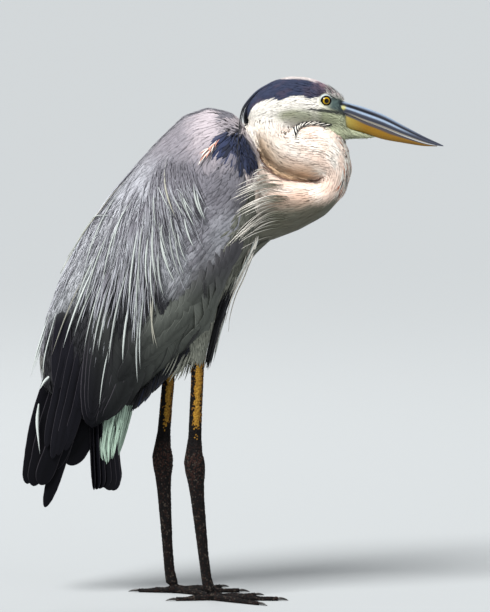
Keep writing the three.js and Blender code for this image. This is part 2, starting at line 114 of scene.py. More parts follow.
def unit(vectors):
    return vectors / np.maximum(np.linalg.norm(vectors, axis=-1, keepdims=True), 1e-9)


def ripple(points, size, seed):
    """Smooth noise between about -1 and 1 whose patches are `size` across."""
    waves = np.random.default_rng(seed)
    total = np.zeros(points.shape[:-1])
    for _ in range(6):
        direction = unit(waves.normal(size=3)) * waves.uniform(0.6, 1.5)
        total += np.sin(points @ direction * (2 * math.pi / size) + waves.uniform(0, 6.28))
    return total / 3


def from_line(x, z, line):
    """Distance of points from a line drawn on the bird's side, and how far along it the nearest place is."""
    line = np.asarray(line, float)
    best = np.full(np.shape(x), 1e9)
    place = np.zeros(np.shape(x))
    for i, (a, b) in enumerate(zip(line[:-1], line[1:])):
        run = b - a
        t = np.clip(((x - a[0]) * run[0] + (z - a[1]) * run[1]) / (run @ run), 0, 1)
        away = np.hypot(x - a[0] - t * run[0], z - a[1] - t * run[1])
        place = np.where(away < best, (i + t) / (len(line) - 1), place)
        best = np.minimum(best, away)
    return best, place


def points_of(mesh):
    flat = np.empty(len(mesh.vertices) * 3)
    mesh.vertices.foreach_get("co", flat)
    return flat.reshape(-1, 3) / MM


def triangles_of(mesh):
    mesh.calc_loop_triangles()
    flat = np.empty(len(mesh.loop_triangles) * 3, int)
    mesh.loop_triangles.foreach_get("vertices", flat)
    return flat.reshape(-1, 3)


def corner_normals(points, faces):
    """Smooth normals at the points of a mesh."""
    a, b, c = (points[faces[:, i]] for i in range(3))
    face = np.cross(b - a, c - a)
    total = np.stack([
        sum(np.bincount(faces[:, i], face[:, axis], len(points)) for i in range(3)) for axis in range(3)
    ], axis=1)
    return unit(total)


def added(name, data):
    """An object for this data, put in the scene."""
    obj = bpy.data.objects.new(name, data)
    bpy.context.scene.collection.objects.link(obj)
    return obj


def settled(obj):
    """The mesh that an object's modifiers give. The object goes, with the mesh that it started from."""
    made = bpy.data.meshes.new_from_object(obj.evaluated_get(bpy.context.evaluated_depsgraph_get()))
    start = obj.data
    bpy.data.objects.remove(obj)
    bpy.data.meshes.remove(start)
    return made


def make(name, points, faces, material, colours, replaced=(), vane=None, bake=None, lay=None,
         smooth=True):
    """A finished piece that rides on the body and stands for the `replaced` solids. Colours, vane places, the
    bake map and the lay, which is the way that the plumage as a whole faces, are given point by point."""
    mesh = bpy.data.meshes.new(name)
    faces = np.asarray(faces, np.int32)
    corners = faces.shape[1]
    mesh.vertices.add(len(points))
    mesh.vertices.foreach_set("co", (np.asarray(points) * MM).ravel())
    mesh.loops.add(faces.size)
    mesh.loops.foreach_set("vertex_index", faces.ravel())
    mesh.polygons.add(len(faces))
    mesh.polygons.foreach_set("loop_start", np.arange(0, faces.size, corners, dtype=np.int32))
    mesh.polygons.foreach_set("use_smooth", np.full(len(faces), smooth))
    layer = mesh.attributes.new("plumage", "FLOAT_COLOR", "POINT")
    layer.data.foreach_set("color", np.column_stack([colours, np.ones(len(points))]).ravel())
    for key, values in (("vane", vane), ("lay", lay)):
        if values is not None:
            layer = mesh.attributes.new(key, "FLOAT_VECTOR", "POINT")
            layer.data.foreach_set("vector", np.asarray(values, float).ravel())
    if bake is not None:
        layer = mesh.uv_layers.new(name="OFBake")
        layer.data.foreach_set("uv", bake[faces.ravel()].ravel())
    mesh.update(calc_edges=True)
    mesh.validate()
    mesh.materials.append(material)
    piece = added(name, mesh)
    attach(piece, "root")
    if replaced:
        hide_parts(*replaced)


def node(tree, kind, inputs=None, **settings):
    """Adds a node with its settings, and sets each input to a value or links it to a socket."""
    made = tree.nodes.new(kind)
    for key, value in settings.items():
        setattr(made, key, value)
    for key, value in (inputs or {}).items():
        if isinstance(value, bpy.types.NodeSocket):
            tree.links.new(value, made.inputs[key])
        else:
            made.inputs[key].default_value = value
    return made


# ---------------------------------------------------------------- markings
TONES = {
    key: linear(code)
    for key, code in {
        # The rose grey over the top of the back is partly the plumage's own tint and partly painted light
        # where the top takes the sun.
        "mantle": "#6c6a71", "rose_and_top_light": "#b0a6aa", "nape_rose": "#c3b8b7", "silver": "#bfc1c7",
        "covert": "#4b4a4d", "front": "#525550", "dark": "#141419", "breast": "#63645b",
        "belly": "#7f8075", "thigh": "#7f8176", "vent": "#9fb6a5", "black": "#101117",
        # The crown tone is the black of the crown lifted to a blue grey, a painted blue sheen.
        "crown": "#2a3148", "plum": "#54424c", "white": "#e6e1d7", "cream": "#f3eadf",
        # The dark red-brown along the fold of the neck is painted shade in the fold.
        # The olive grey of the lower neck's underside is painted shade; the breast plumes and the roots of
        # the neck wisps start from it too.
        "rose": "#eccdba", "tan": "#bb9265", "fold_shade": "#4e2d20", "under": "#565749",
        "peach": "#cfa78f", "rufous": "#a86a50", "quill": "#111017", "primary": "#07070c",
        "quill_edge": "#48454a", "plume": "#c0c6c2", "plume_warm": "#b3b1a2", "horn": "#333745",
        # The pale blue on the upper bill is a painted highlight along its ridge and in a line on each side.
        "horn_dark": "#0f1117", "horn_glint": "#93a5ba", "horn_edge": "#a39a88", "horn_green": "#b5ae58",
        "ochre": "#85600a", "ochre_deep": "#65430c", "iris": "#a98a0c", "iris_deep": "#6b4f07",
        # The pale grey of the lids is a painted highlight on their upper and back rim.
        "pupil": "#020203", "lid": "#a3adac", "shank_front": "#957029", "shank_deep": "#664417",
        "tarsus": "#0e0c0c", "scale_pale": "#3d3630", "scale_warm": "#2e1d18", "claw": "#151210",
        "salmon": "#cd8f7c", "olive": "#8f8e70", "navy": "#28304a", "cheek": "#a6aa8e",
        "chin": "#a3a88b", "lore": "#42504e", "line": "#161b22", "forehead": "#a7a5a0",
        "mauve": "#8a7078", "pale_back": "#dfe0e2",
    }.items()
}
BACK_EDGE = np.array(LIE["wing"])[::-1, :2]  # x and z up the back edge of the folded wings
# Markings as lines on the bird's side.
STRIPE_EDGE = [
    [13, 578], [17, 585], [21.5, 595], [26, 602], [33, 608], [43, 612], [52, 612], [64, 609], [70, 613],
    [82, 615], [95, 611], [106, 613], [114, 619], [128, 624],
]
CREASE = [[26, 556], [33, 543], [39, 531], [48, 520.5], [66, 512.6], [86, 510], [98, 510.5], [105, 514]]
MOUSTACHE = [[121, 578], [104, 582], [88.5, 581], [78.5, 574.5], [72, 565]]
EYE_LINE = [[95, 598.5], [113, 596.5], [138, 592]]
FLANK = [[-44, 326], [-60, 305], [-82, 282], [-103, 263], [-121, 248], [-131, 236]]
BELLY_FRONT = [[-2, 378], [-12, 350], [-22, 320], [-31, 284]]
LEFT_BACK, LEGS_MEET = 47, 1100  # the left leg stands back, by less with height
LEG_SPREAD = 31  # from the middle plane to each leg
EYE_LOW, EYE_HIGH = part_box("eye_right")
EYE = (EYE_LOW + EYE_HIGH) / 2 / MM
EYE_RADIUS = (EYE_HIGH - EYE_LOW).x / 2 / MM
LORE = [[EYE.x, EYE.z], [EYE.x + 22, EYE.z - 7]]


def blend(colour, tone, amount):
    return colour + (TONES[tone] - colour) * np.clip(amount, 0, 1)[..., None]


def plain(tone, points):
    """One tone at every point."""
    return np.tile(TONES[tone], (len(points), 1))


def layered(tone, points, *layers):
    """One tone at every point, with others blended over it in turn, each by its amount."""
    colour = plain(tone, points)
    for over, amount in layers:
        colour = blend(colour, over, amount)
    return colour


def set_back(z, sign):
    """How far behind the right leg's place the leg on this side stands, at a height."""
    return LEFT_BACK * (1 - z / LEGS_MEET) * (sign > 0)


def of_part(part, key):
    """Which of the points belong to the nodes of flesh whose names start so."""
    return np.array([name.startswith(key) for name in FLESH])[part]


def crown_stripe(p):
    """The black band over the eye and down the nape, which leaves a thin pale crest along the crown."""
    x, y, z = p.T
    edge = np.interp(x, *np.transpose(STRIPE_EDGE)) + 1.5 * ripple(p, 9, 3) * ramp(18, 40, x)
    crown = 6.9 * ramp(56, 72, x) * (1 - ramp(100, 112, x)) - 1.2 * (x < 56)
    return ramp(-1, 1.5, z - edge) * ramp(-1.2, 1.2, np.abs(y) - crown) * (1 - ramp(116, 130, x))


def on_head(p, chance):
    x, y, z = p.T
    side = np.abs(y)
    stripe = crown_stripe(p)
    front = ramp(92, 106, x) * ramp(612, 618, z) * (1 - ramp(4, 12, side))
    away, _ = from_line(x, z, LORE)
    lore = (1 - ramp(5.5, 9.5, away)) * ramp(3, 6, side)
    away, place = from_line(x, z, EYE_LINE)
    return layered(
        "white", p,
        ("cheek", 0.85 * (1 - ramp(0.5, 1.25, np.hypot((x - 80) / 24, (z - 590) / 10)))),
        ("chin", ramp(96, 112, x) * (1 - ramp(596, 602, z))),
        ("forehead", 0.8 * ramp(112, 124, x) * ramp(606, 612, z)),
        ("olive", 0.4 * (1 - ramp(0.3, 1.2, np.hypot((x - 70) / 14, (z - 592) / 7)))),
        ("nape_rose", 0.8 * ramp(614, 622, z) * (1 - ramp(9, 13, side))),
        ("cream", ramp(594, 574, z) * (1 - ramp(70, 96, x))),
        # The black band, in a tone that carries a painted blue sheen.
        ("crown", stripe),
        ("plum", stripe * (0.3 * ramp(0.1, 0.9, ripple(p, 15, 5)) + 0.5 * ramp(92, 112, x))),
        ("mauve", front * (chance > 0.35)),
        ("cheek", lore * 0.8),
        ("lore", lore * ramp(EYE.x - 2, EYE.x + 9, x)),
        ("line", lore * ramp(EYE.x + 7, EYE.x + 20, x) * ramp(-0.4, 0.7, ripple(p, 5, 31))),
        ("line", 0.9 * (1 - ramp(0.5 + place, 1.5 + 2 * place, away)) * ramp(4, 7, side)),
    )


def on_neck(p, chance):
    x, y, z = p.T
    side = np.abs(y)
    away, _ = from_line(x, z, CREASE)
    over = np.interp(x, *np.transpose(CREASE)) < z
    near = over * (1 - ramp(2, 34, away))
    keel = np.interp(x, [-6, 22, 49, 86, 119, 138], [412, 424, 439, 453, 473, 500])
    reach = np.interp(x, [20, 40, 82, 119, 134], [68, 60, 44, 20, 6])
    front = ramp(119, 128, x) * ramp(508, 520, z) * (1 - ramp(560, 572, z)) * (1 - ramp(13, 19, side))
    return layered(
        "cream", p,
        ("rose", 0.75 * ramp(35, 75, x) * ramp(-0.9, 0.5, ripple(p, 26, 11))),
        ("tan", 0.8 * near * (1 - ramp(84, 110, x)) * ramp(24, 34, x)),
        ("rose", 0.6 * (1 - over) * ramp(498, 504, z)),
        # Painted shade: the plumage darkens to red-brown along the fold of the neck.
        ("fold_shade", 0.9 * (1 - ramp(0.6, 3.2, away)) * ramp(4, 12, side)),
        ("peach", 0.7 * (1 - ramp(0.4, 1.3, np.hypot((x - 76) / 44, (z - 488) / 12)))),
        # Painted shade: olive grey over the underside of the lower neck, and in patches towards its back
        # below the fold.
        ("under", 0.95 * (1 - ramp(0.5, 1.1, (z - keel) / reach)) * (1 - ramp(124, 140, x))),
        ("under", 0.45 * ramp(48, 18, x) * (1 - over) * (chance > 0.35)),
        ("line", front * (chance < 0.2)),
        ("rufous", front * 0.7 * ((chance > 0.2) & (chance < 0.36))),
        ("white", front * (chance > 0.5)),
        # The black of the nape, in the crown tone with its painted blue sheen.
        ("crown", crown_stripe(p) * (x < 40) * (z > 570)),
    )


def on_wing(p, chance):
    x, _, z = p.T
    crest = 0.2 + 0.8 * ramp(-58, -22, x)
    back = ramp(330, 380, z) * ramp(570, 520, z) * (1 - 0.5 * ramp(470, 515, z))
    low, high = ramp(535, 470, z), ramp(340, 395, z)
    front = np.interp(z, [330, 375, 410, 440, 480, 530, 560], [-26, -12, 8, 34, 44, 37, 24])
    toward = 1 - ramp(10, 70, front - x + 6 * ripple(p, 30, 41))
    pale = ramp(-34, -8, x + 6 * ripple(p, 16, 45)) * ramp(375, 440, z) * ramp(500, 465, z)
    edge = np.interp(x, [-220, -180, -149, -116, -85, -50], [352, 386, 416, 430, 404, 360])
    return layered(
        "mantle", p,
        # Lighter rose grey towards the top: partly its own tint, partly painted light on the upper surface.
        ("rose_and_top_light", 0.85 * crest * ramp(520, 572, z + 8 * ripple(p, 30, 44))),
        ("silver", 0.9 * ramp(-45, -105, x) * back),
        ("pale_back", 0.6 * ramp(-80, -125, x) * ramp(385, 420, z) * ramp(505, 460, z)),
        ("silver", low * high * (0.15 + 0.4 * (chance < 0.4)) * ramp(-10, -70, x)),
        ("dark", 0.3 * (chance > 0.88) * (z < 540)),
        ("covert", toward * ramp(545, 470, z) * (1 - 0.7 * pale)),
        ("silver", 0.32 * pale),
        ("front", (0.35 + 0.65 * toward) * ramp(470, 365, z + 8 * ripple(p, 22, 42))),
        ("dark", ramp(22, -26, z - edge + 8 * ripple(p, 18, 43)) * (1 - toward) * 0.95),
    )


def on_trunk(p, _):
    x, _, z = p.T
    crest = (x < 15) * (0.3 + 0.7 * ramp(-58, -22, x))
    behind = 1 - ramp(22, 40, x - np.interp(z, BACK_EDGE[:, 1], BACK_EDGE[:, 0]))
    flank_away, place = from_line(x, z, FLANK)
    belly_away, _ = from_line(x, z, BELLY_FRONT)
    return layered(
        "breast", p,
        ("mantle", ramp(486, 512, z) * (x < 15)),
        ("nape_rose", ramp(505, 520, z) * ramp(5, 15, x)),
        # Lighter rose grey towards the top: partly its own tint, partly painted light on the upper surface.
        ("rose_and_top_light", 0.75 * ramp(556, 590, z) * crest),
        ("belly", ramp(420, 370, z)),
        ("mantle", behind * ramp(290, 330, z)),
        ("silver", 0.5 * behind * ramp(330, 380, z) * ramp(570, 520, z)),
        ("vent", ramp(-96, -116, x) * ramp(262, 246, z)),
        ("black", (1 - ramp(6 + 3 * place, 9 + 4 * place, flank_away)) * ramp(-128, -118, x)),
        ("black", 1 - ramp(7, 10, belly_away)),
    )


def on_thigh(p, _):
    return layered("thigh", p, ("breast", 0.6 * ramp(320, 360, p[:, 2])))


MARKINGS = {
    "head": on_head, "neck": on_neck, "wing": on_wing, "scapulars": on_wing, "trunk": on_trunk,
    "thigh": on_thigh,
}


def plumage(p, part, chance):
    """Colour of the plumage at points on the bird. The skin and the coat over it both take it."""
    colour = np.zeros((len(p), 3))
    for key, rule in MARKINGS.items():
        here = of_part(part, key)
        if here.any():
            colour[here] = rule(p[here], chance[here])
    x, y, z = p.T
    ragged = 0.13 * ripple(p * [1, 1, 0.35], 7, 21)
    for cx, cz, rx, rz, lean in ((-7, 558, 12.5, 15, 0), (16.5, 549, 13.5, 25, 0.25)):
        away = np.hypot((x - cx + lean * (z - cz)) / rx, (z - cz) / rz) + ragged
        lobe = (1 - ramp(0.85, 1.1, away)) * ramp(20, 26, np.abs(y)) * (part != HEAD)
        colour = blend(colour, "navy", lobe)
        colour = blend(colour, "black", lobe * (chance < 0.35) * 0.7)
    return colour


# ---------------------------------------------------------------- skin
class Surface:
    """A closed surface that answers where its nearest point is."""

    def __init__(self, points, faces):
        self.points, self.faces = points, faces
        self.normals = corner_normals(points, faces)
        self.face_normals = unit(self.normals[faces].mean(axis=1))
        self.tree = BVHTree.FromPolygons(points.tolist(), faces.tolist())

    def nearest(self, points):
        """Nearest points, with the smooth normals and the faces there."""
        hits = [self.tree.find_nearest(p) for p in points.tolist()]
        face = np.array([h[2] for h in hits])
        return np.array([h[0] for h in hits]), self.face_normals[face], face

    def from_side(self, x, z, side):
        """Where lines across the bird first meet the surface from one side; misses take the nearest point."""
        found = []
        for a, b in zip(np.ravel(x), np.ravel(z)):
            hit = self.tree.ray_cast((a, side * 150, b), (0, -side, 0), 150)
            if hit[0] is None:
                hit = self.tree.find_nearest((a, side * 15, b))
            found.append((*hit[0], hit[2]))
        found = np.array(found)
        face = found[:, 3].astype(int)
        return found[:, :3], self.face_normals[face], face


def relaxed(points, edges, times):
    """Values at the points of a mesh, each moved half way to its neighbours' mean, several times over."""
    count = np.bincount(edges.ravel(), minlength=len(points))[:, None]
    for _ in range(times):
        near = np.stack([
            np.bincount(edges[:, 0], points[edges[:, 1], axis], len(points))
            + np.bincount(edges[:, 1], points[edges[:, 0], axis], len(points))
            for axis in range(points.shape[1])
        ], axis=1)
        points = points + 0.5 * (near / count - points)
    return points


def welded(name, swell=0.0):
    """Points and triangles of a CAD node with its doubles merged, swollen along its normals."""
    work = bmesh.new()
    work.from_mesh(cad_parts[name].data)
    bmesh.ops.remove_doubles(work, verts=work.verts, dist=1e-6)
    bmesh.ops.triangulate(work, faces=work.faces)
    work.normal_update()
    points = np.array([v.co / MM + v.normal * swell for v in work.verts])
    faces = np.array([[v.index for v in f.verts] for f in work.faces])
    work.free()
    return points, faces


def fused(names, voxel, swell, smoothing, more=()):
    """One closed mesh over CAD nodes that touch, and `more` closed meshes: points, triangles and edges.
    Smoothing takes the facets off, and what it takes off the whole shape with them is put back."""
    points, faces, start = [], [], 0
    for p, f in [welded(name, swell) for name in names] + list(more):
        points.append(p)
        faces.append(f + start)
        start += len(p)
    source = bpy.data.meshes.new("fusing")
    source.from_pydata((np.vstack(points) * MM).tolist(), [], np.vstack(faces).tolist())
    obj = added("fusing", source)
    remesh = obj.modifiers.new("remesh", "REMESH")
    remesh.mode = "VOXEL"
    remesh.voxel_size = voxel * MM
    made = settled(obj)
    edges = np.array([e.vertices[:] for e in made.edges])
    triangles = triangles_of(made)
    rough = points_of(made)
    shaped = relaxed(rough, edges, smoothing)
    normals = corner_normals(shaped, triangles)
    lost = relaxed(((rough - shaped) * normals).sum(axis=1, keepdims=True), edges, 3 * smoothing)
    bpy.data.meshes.remove(made)
    return shaped + lost * normals, triangles, edges


def parts_at(points):
    """For each point, the number in FLESH of the CAD node nearest to it."""
    corners, faces, owner, start = [], [], [], 0
    for number, name in enumerate(FLESH):
        p, f = welded(name)
        corners += p.tolist()
        faces += (f + start).tolist()
        owner += [number] * len(f)
        start += len(p)
    tree = BVHTree.FromPolygons(corners, faces)
    return np.array([owner[tree.find_nearest(p)[2]] for p in points.tolist()])


COAT_DEPTH = {"head": 1.3, "neck": 1.6, "trunk": 4.0, "wing": 2.6, "scapulars": 3.0, "thigh": 3.6}
BARE_DEPTH = 0.25  # on the bare skin between the bill and the eye
THIN_SHARE = 0.38  # at most this share of the form's own thickness is coat
FAR_SIDE = 60  # how far through the form its other side is looked for


def depth_at(points, part):
    """How deep the skin lies under the outside of the plumage."""
    by_part = np.array([next(d for key, d in COAT_DEPTH.items() if name.startswith(key)) for name in FLESH])
    x, _, z = points.T
    face = (part == HEAD) * ramp(60, 112, x)
    depth = by_part[part] * (1 - 0.35 * face)
    away, _ = from_line(x, z, LORE)
    return np.where(part == HEAD, BARE_DEPTH + (depth - BARE_DEPTH) * ramp(5, 12, away), depth)


form_points, form_faces, form_edges = fused(FLESH, voxel=2.4, swell=0.5, smoothing=9)
form = Surface(form_points, form_faces)
part_of = parts_at(form_points)
wanted = depth_at(form_points, part_of)
room = []
for point, normal in zip(form_points.tolist(), form.normals.tolist()):
    p, n = Vector(point), Vector(normal)
    hit = form.tree.ray_cast(p - n * 0.3, -n, FAR_SIDE)
    room.append(hit[3] if hit[0] is not None else FAR_SIDE)
coat_depth = relaxed(np.minimum(wanted, THIN_SHARE * np.array(room))[:, None], form_edges, 4)[:, 0]
skin_points = relaxed(form_points - form.normals * coat_depth[:, None], form_edges, 2)
skin = Surface(skin_points, form_faces)
skin.normals = unit(relaxed(skin.normals, form_edges, 12))
skin.face_normals = unit(skin.normals[form_faces].mean(axis=1))


# ---------------------------------------------------------------- feathers
THREAD = [(-1, 0), (0, 1), (1, 0)]  # a section of a thin feather: its edges and its ridge
VANE = [(-1, 0), (-0.52, 0.42), (0, 1), (0.52, 0.42), (1, 0), (0, -0.35)]  # a section of a broad one


def feathers(paths, normals, half, ridge, section, tilt=0.0, camber=0.0):
    """Closed feathers along paths: points, triangles and places on the vane, feather by feather. `tilt`
    raises one edge over the other and `camber` lowers both. A vane place is the distance across from the
    shaft, the distance from the root and a number of the feather's own."""
    count, stations, _ = paths.shape
    normals = np.broadcast_to(normals, paths.shape)
    around = len(section)
    across, rise = np.array(section, float).T
    along = np.gradient(paths, axis=1)
    sideways = unit(np.cross(normals, along))
    aside = half[..., None] * across
    offset = aside[..., None] * sideways[:, :, None]
    lift = ridge[..., None] * rise + aside * tilt - aside**2 * camber / 2
    rings = paths[:, :, None] + offset + lift[..., None] * normals[:, :, None]
    points = np.concatenate([rings.reshape(count, -1, 3), paths[:, :1], paths[:, -1:]], axis=1)
    run = np.linalg.norm(np.diff(paths, axis=1), axis=2).cumsum(axis=1)
    run = np.column_stack([np.zeros(count), run])
    vane = np.zeros((count, points.shape[1], 3))
    vane[:, :-2, 0] = aside.reshape(count, -1)
    vane[:, :-2, 1] = np.repeat(run, around, axis=1)
    vane[:, -1, 1] = run[:, -1]
    vane[:, :, 2] = rng.random(count)[:, None]
    faces = []
    root, tip = stations * around, stations * around + 1
    last = (stations - 1) * around
    for i in range(around):
        j = (i + 1) % around
        for r in range(0, last, around):
            faces += [[r + i, r + around + i, r + j], [r + j, r + around + i, r + around + j]]
        faces += [[root, i, j], [tip, last + j, last + i]]
    faces = np.array(faces)[None] + (np.arange(count) * points.shape[1])[:, None, None]
    return points.reshape(-1, 3), faces.reshape(-1, 3), vane.reshape(-1, 3)


def share_along(stations, around):
    """For the points of one feather, how far along it each lies, from 0 at the root to 1 at the tip."""
    return np.concatenate([np.repeat(np.linspace(0, 1, stations), around), [0, 1]])


def at_points(values, around):
    """Vectors at the stations of feathers, given to their points: each ring, then the root and the tip."""
    rings = np.repeat(values, around, axis=1)
    return np.concatenate([rings, values[:, :1], values[:, -1:]], axis=1).reshape(-1, 3)


def in_space(xz, y):
    """Points from places on the bird's side and their distances from the middle plane."""
    return np.stack([xz[..., 0], y, xz[..., 1]], axis=-1)


class Lie:
    """The lie of the plumage over one part, between two lines on the bird's side."""

    def __init__(self, rows, across=11):
        rows = np.array(rows, float)
        places = np.linspace(0, len(rows) - 1, 6 * len(rows))
        upper, lower = spline(rows[:, :2], places), spline(rows[:, 2:], places)
        share = np.linspace(0, 1, across)[:, None, None]
        grid = upper + (lower - upper) * share
        self.at = grid.reshape(-1, 2)
        self.heading = unit(np.gradient(grid, axis=1)).reshape(-1, 2)
        self.share = np.repeat(share.ravel(), len(places))

    def __call__(self, points):
        xz = points[:, [0, 2]]
        nearest = np.concatenate([
            ((xz[i : i + 2000, None] - self.at) ** 2).sum(axis=2).argmin(axis=1)
            for i in range(0, len(xz), 2000)
        ])
        flat = self.heading[nearest]
        return np.column_stack([flat[:, 0], np.zeros(len(xz)), flat[:, 1]]), self.share[nearest]


LIES = {key: Lie(rows) for key, rows in LIE.items()}


def fan(points):
    """The way the long plumes of the back hang: backwards at the tail end, forwards at the shoulder end."""
    x = points[:, 0]
    slope = np.interp(x, [-215, -165, -120, -92, -70, -50, -20], [-0.3, -0.13, 0.0, 0.22, 0.45, 0.6, 0.5])
    return unit(np.column_stack([slope, np.zeros(len(x)), -np.ones(len(x))]))


def heading(points, part):
    """Direction in which the plumage lies at points on the bird."""
    way = np.zeros((len(points), 3))
    for key in MARKINGS:
        here = of_part(part, key)
        if not here.any():
            continue
        flow, share = LIES["wing" if key == "scapulars" else key](points[here])
        if key == "scapulars":
            height = points[here, 2]
            mixed = ramp(0.16, 0.45, share) * ramp(575, 500, height)
            flow = unit(flow + (fan(points[here]) - flow) * mixed[:, None])
        way[here] = flow
    return way


def spread(points, spacing):
    """Numbers of points picked so that about one stands in each cell of that size."""
    order = rng.permutation(len(points))
    cell = np.floor(points[order] / spacing + rng.random(3)).astype(int)
    _, first = np.unique(cell, axis=0, return_index=True)
    return order[first]


def scattered(surface, chosen, spacing):
    """Roots spread evenly over the faces where `chosen` is true: places, faces and shares of each face's
    corners. Five times as many places as there is room for are tried."""
    chosen = np.nonzero(chosen)[0]
    corner = surface.points[surface.faces[chosen]]
    area = np.linalg.norm(np.cross(corner[:, 1] - corner[:, 0], corner[:, 2] - corner[:, 0]), axis=1) / 2
    tried = int(area.sum() / spacing**2 * 5)
    face = rng.choice(len(chosen), tried, p=area / area.sum())
    u, v = rng.random(tried), rng.random(tried)
    flip = u + v > 1
    u, v = np.where(flip, 1 - u, u), np.where(flip, 1 - v, v)
    shares = np.column_stack([1 - u - v, u, v])
    place = (corner[face] * shares[..., None]).sum(axis=1)
    kept = spread(place, spacing)
    return place[kept], chosen[face[kept]], shares[kept]


def laid(roots, length, stations, wander):
    """Paths along the skin from each root, with the normals and the depth of coat at every station."""
    count = len(roots)
    here, normal, face = skin.nearest(roots)
    paths, normals, depths = [here], [normal], [coat_depth[form_faces[face, 0]]]
    drift = rng.normal(0, wander, count)[:, None]
    step = (length / (stations - 1))[:, None]
    for _ in range(stations - 1):
        flow = heading(here, part_of[form_faces[face, 0]])
        flow = unit(flow - (flow * normal).sum(axis=1, keepdims=True) * normal)
        flow = unit(flow + drift * np.cross(normal, flow))
        here, normal, face = skin.nearest(here + flow * step)
        paths.append(here)
        normals.append(normal)
        depths.append(coat_depth[form_faces[face, 0]])
    return np.stack(paths, 1), np.stack(normals, 1), np.stack(depths, 1)


def unwrapped(surface, faces):
    """Corners of these faces on a flat unwrap of that stretch of skin."""
    used, local = np.unique(surface.faces[faces], return_inverse=True)
    mesh = bpy.data.meshes.new("unwrap")
    mesh.from_pydata((surface.points[used] * MM).tolist(), [], local.reshape(-1, 3).tolist())
    obj = added("unwrap", mesh)
    bpy.context.view_layer.objects.active = obj
    obj.select_set(True)
    bpy.ops.object.mode_set(mode="EDIT")
    bpy.ops.mesh.select_all(action="SELECT")
    bpy.ops.uv.smart_project(angle_limit=math.radians(66), island_margin=0.004)
    bpy.ops.object.mode_set(mode="OBJECT")
    flat = np.empty(len(mesh.loops) * 2)
    mesh.uv_layers.active.data.foreach_get("uv", flat)
    bpy.data.objects.remove(obj)
    bpy.data.meshes.remove(mesh)
    return flat.reshape(-1, 3, 2)


def bake_places(faces, shares, surface=None):
    """Places of roots on the unwrap of the skin that they stand in."""
    stretch, number = np.unique(faces, return_inverse=True)
    corners = unwrapped(surface or skin, stretch)[number]
    return np.clip((corners * shares[..., None]).sum(axis=1), BAKE_PATCH, 1 - BAKE_PATCH)


def bake_map(places, section, stations):
    """The bake map of feathers: each is a small patch at its root's place."""
    across = np.array(section, float)[:, 0] / 2
    inside = np.column_stack([
        np.concatenate([np.tile(across, stations), [0, 0]]),
        share_along(stations, len(section)) - 0.5,
    ])
    return (places[:, None] + inside * BAKE_PATCH * 0.9).reshape(-1, 2)


ROOT_DEPTH = 0.5  # how far under the skin a feather of the coat starts


def coat(name, chosen, spacing, length, width, *, slot, stations=4, section=THREAD, thickness=0.5, proud=0.6,
         wander=0.12, shape=(0.55, 1.0, 0.8, 0.12), shade=(0.82, 1.08), spread_tone=0.07, material=None,
         paint=None, reach=None, rise=0.45):
    """A stretch of coat over the skin's faces where `chosen` is true. Length and width are ranges, and the
    width's shape runs root to tip. A feather comes up through the coat by its length to the power `rise` and
    ends `proud` of it. `reach` scales the length by the root's place, and `paint` takes the place of the
    markings' own colours."""
    roots, faces, shares = scattered(skin, chosen, spacing)
    count = len(roots)
    chance = rng.random(count)
    lengths = rng.uniform(*length, count)
    if reach is not None:
        lengths = lengths * reach(roots)
    paths, normals, depths = laid(roots, lengths, stations, wander)
    t = np.linspace(0, 1, stations)
    loft = -ROOT_DEPTH + (depths + ROOT_DEPTH + proud * rng.uniform(0.4, 1.3, count)[:, None]) * t**rise
    paths = paths + loft[..., None] * normals
    profile = np.interp(t, np.linspace(0, 1, len(shape)), shape)
    half = rng.uniform(*width, count)[:, None] / 2 * profile
    ridge = np.full_like(half, thickness) * profile
    points, triangles, vane = feathers(paths, normals, half, ridge, section)
    middle = paths[:, stations // 3]
    base = (paint or plumage)(middle, part_of[form_faces[faces, 0]], chance)
    base = base * (1 + spread_tone * rng.normal(size=(count, 1)))
    along = share_along(stations, len(section))
    tone = shade[0] + (shade[1] - shade[0]) * ramp(0, 0.8, along)
    colours = np.clip(base[:, None] * tone[None, :, None], 0, 1).reshape(-1, 3)
    bake = bake_map(bake_places(faces, shares), section, stations)
    make(name, points, triangles, material or plumage_finish, colours, vane=vane, bake=bake,
         lay=at_points(normals, len(section)))


# ---------------------------------------------------------------- finishes
def blank_finish(name):
    """A material with nothing in it yet, and its tree of nodes."""
    material = bpy.data.materials.new(name)
    material.use_nodes = True
    material.node_tree.nodes.clear()
    return material, material.node_tree


def grained_colour(tree, grain, amount):
    """The piece's own colours, made lighter and darker by up to this share along a grain."""
    colour = node(tree, "ShaderNodeAttribute", attribute_name="plumage")
    tone = node(tree, "ShaderNodeMapRange", {
        "Value": grain.outputs["Fac"], "From Min": 0.3, "From Max": 0.7, "To Min": 1 - amount,
        "To Max": 1 + amount,
    })
    tinted = node(tree, "ShaderNodeVectorMath", {0: colour.outputs["Color"], 1: tone.outputs[0]},
                  operation="MULTIPLY")
    return tinted.outputs[0]


BARB_SLANT = 1.6  # how far along the shaft a barb runs for each millimetre out from it
OWN_GRAIN = 40.0  # how far apart two feathers' streaks are taken from the same noise


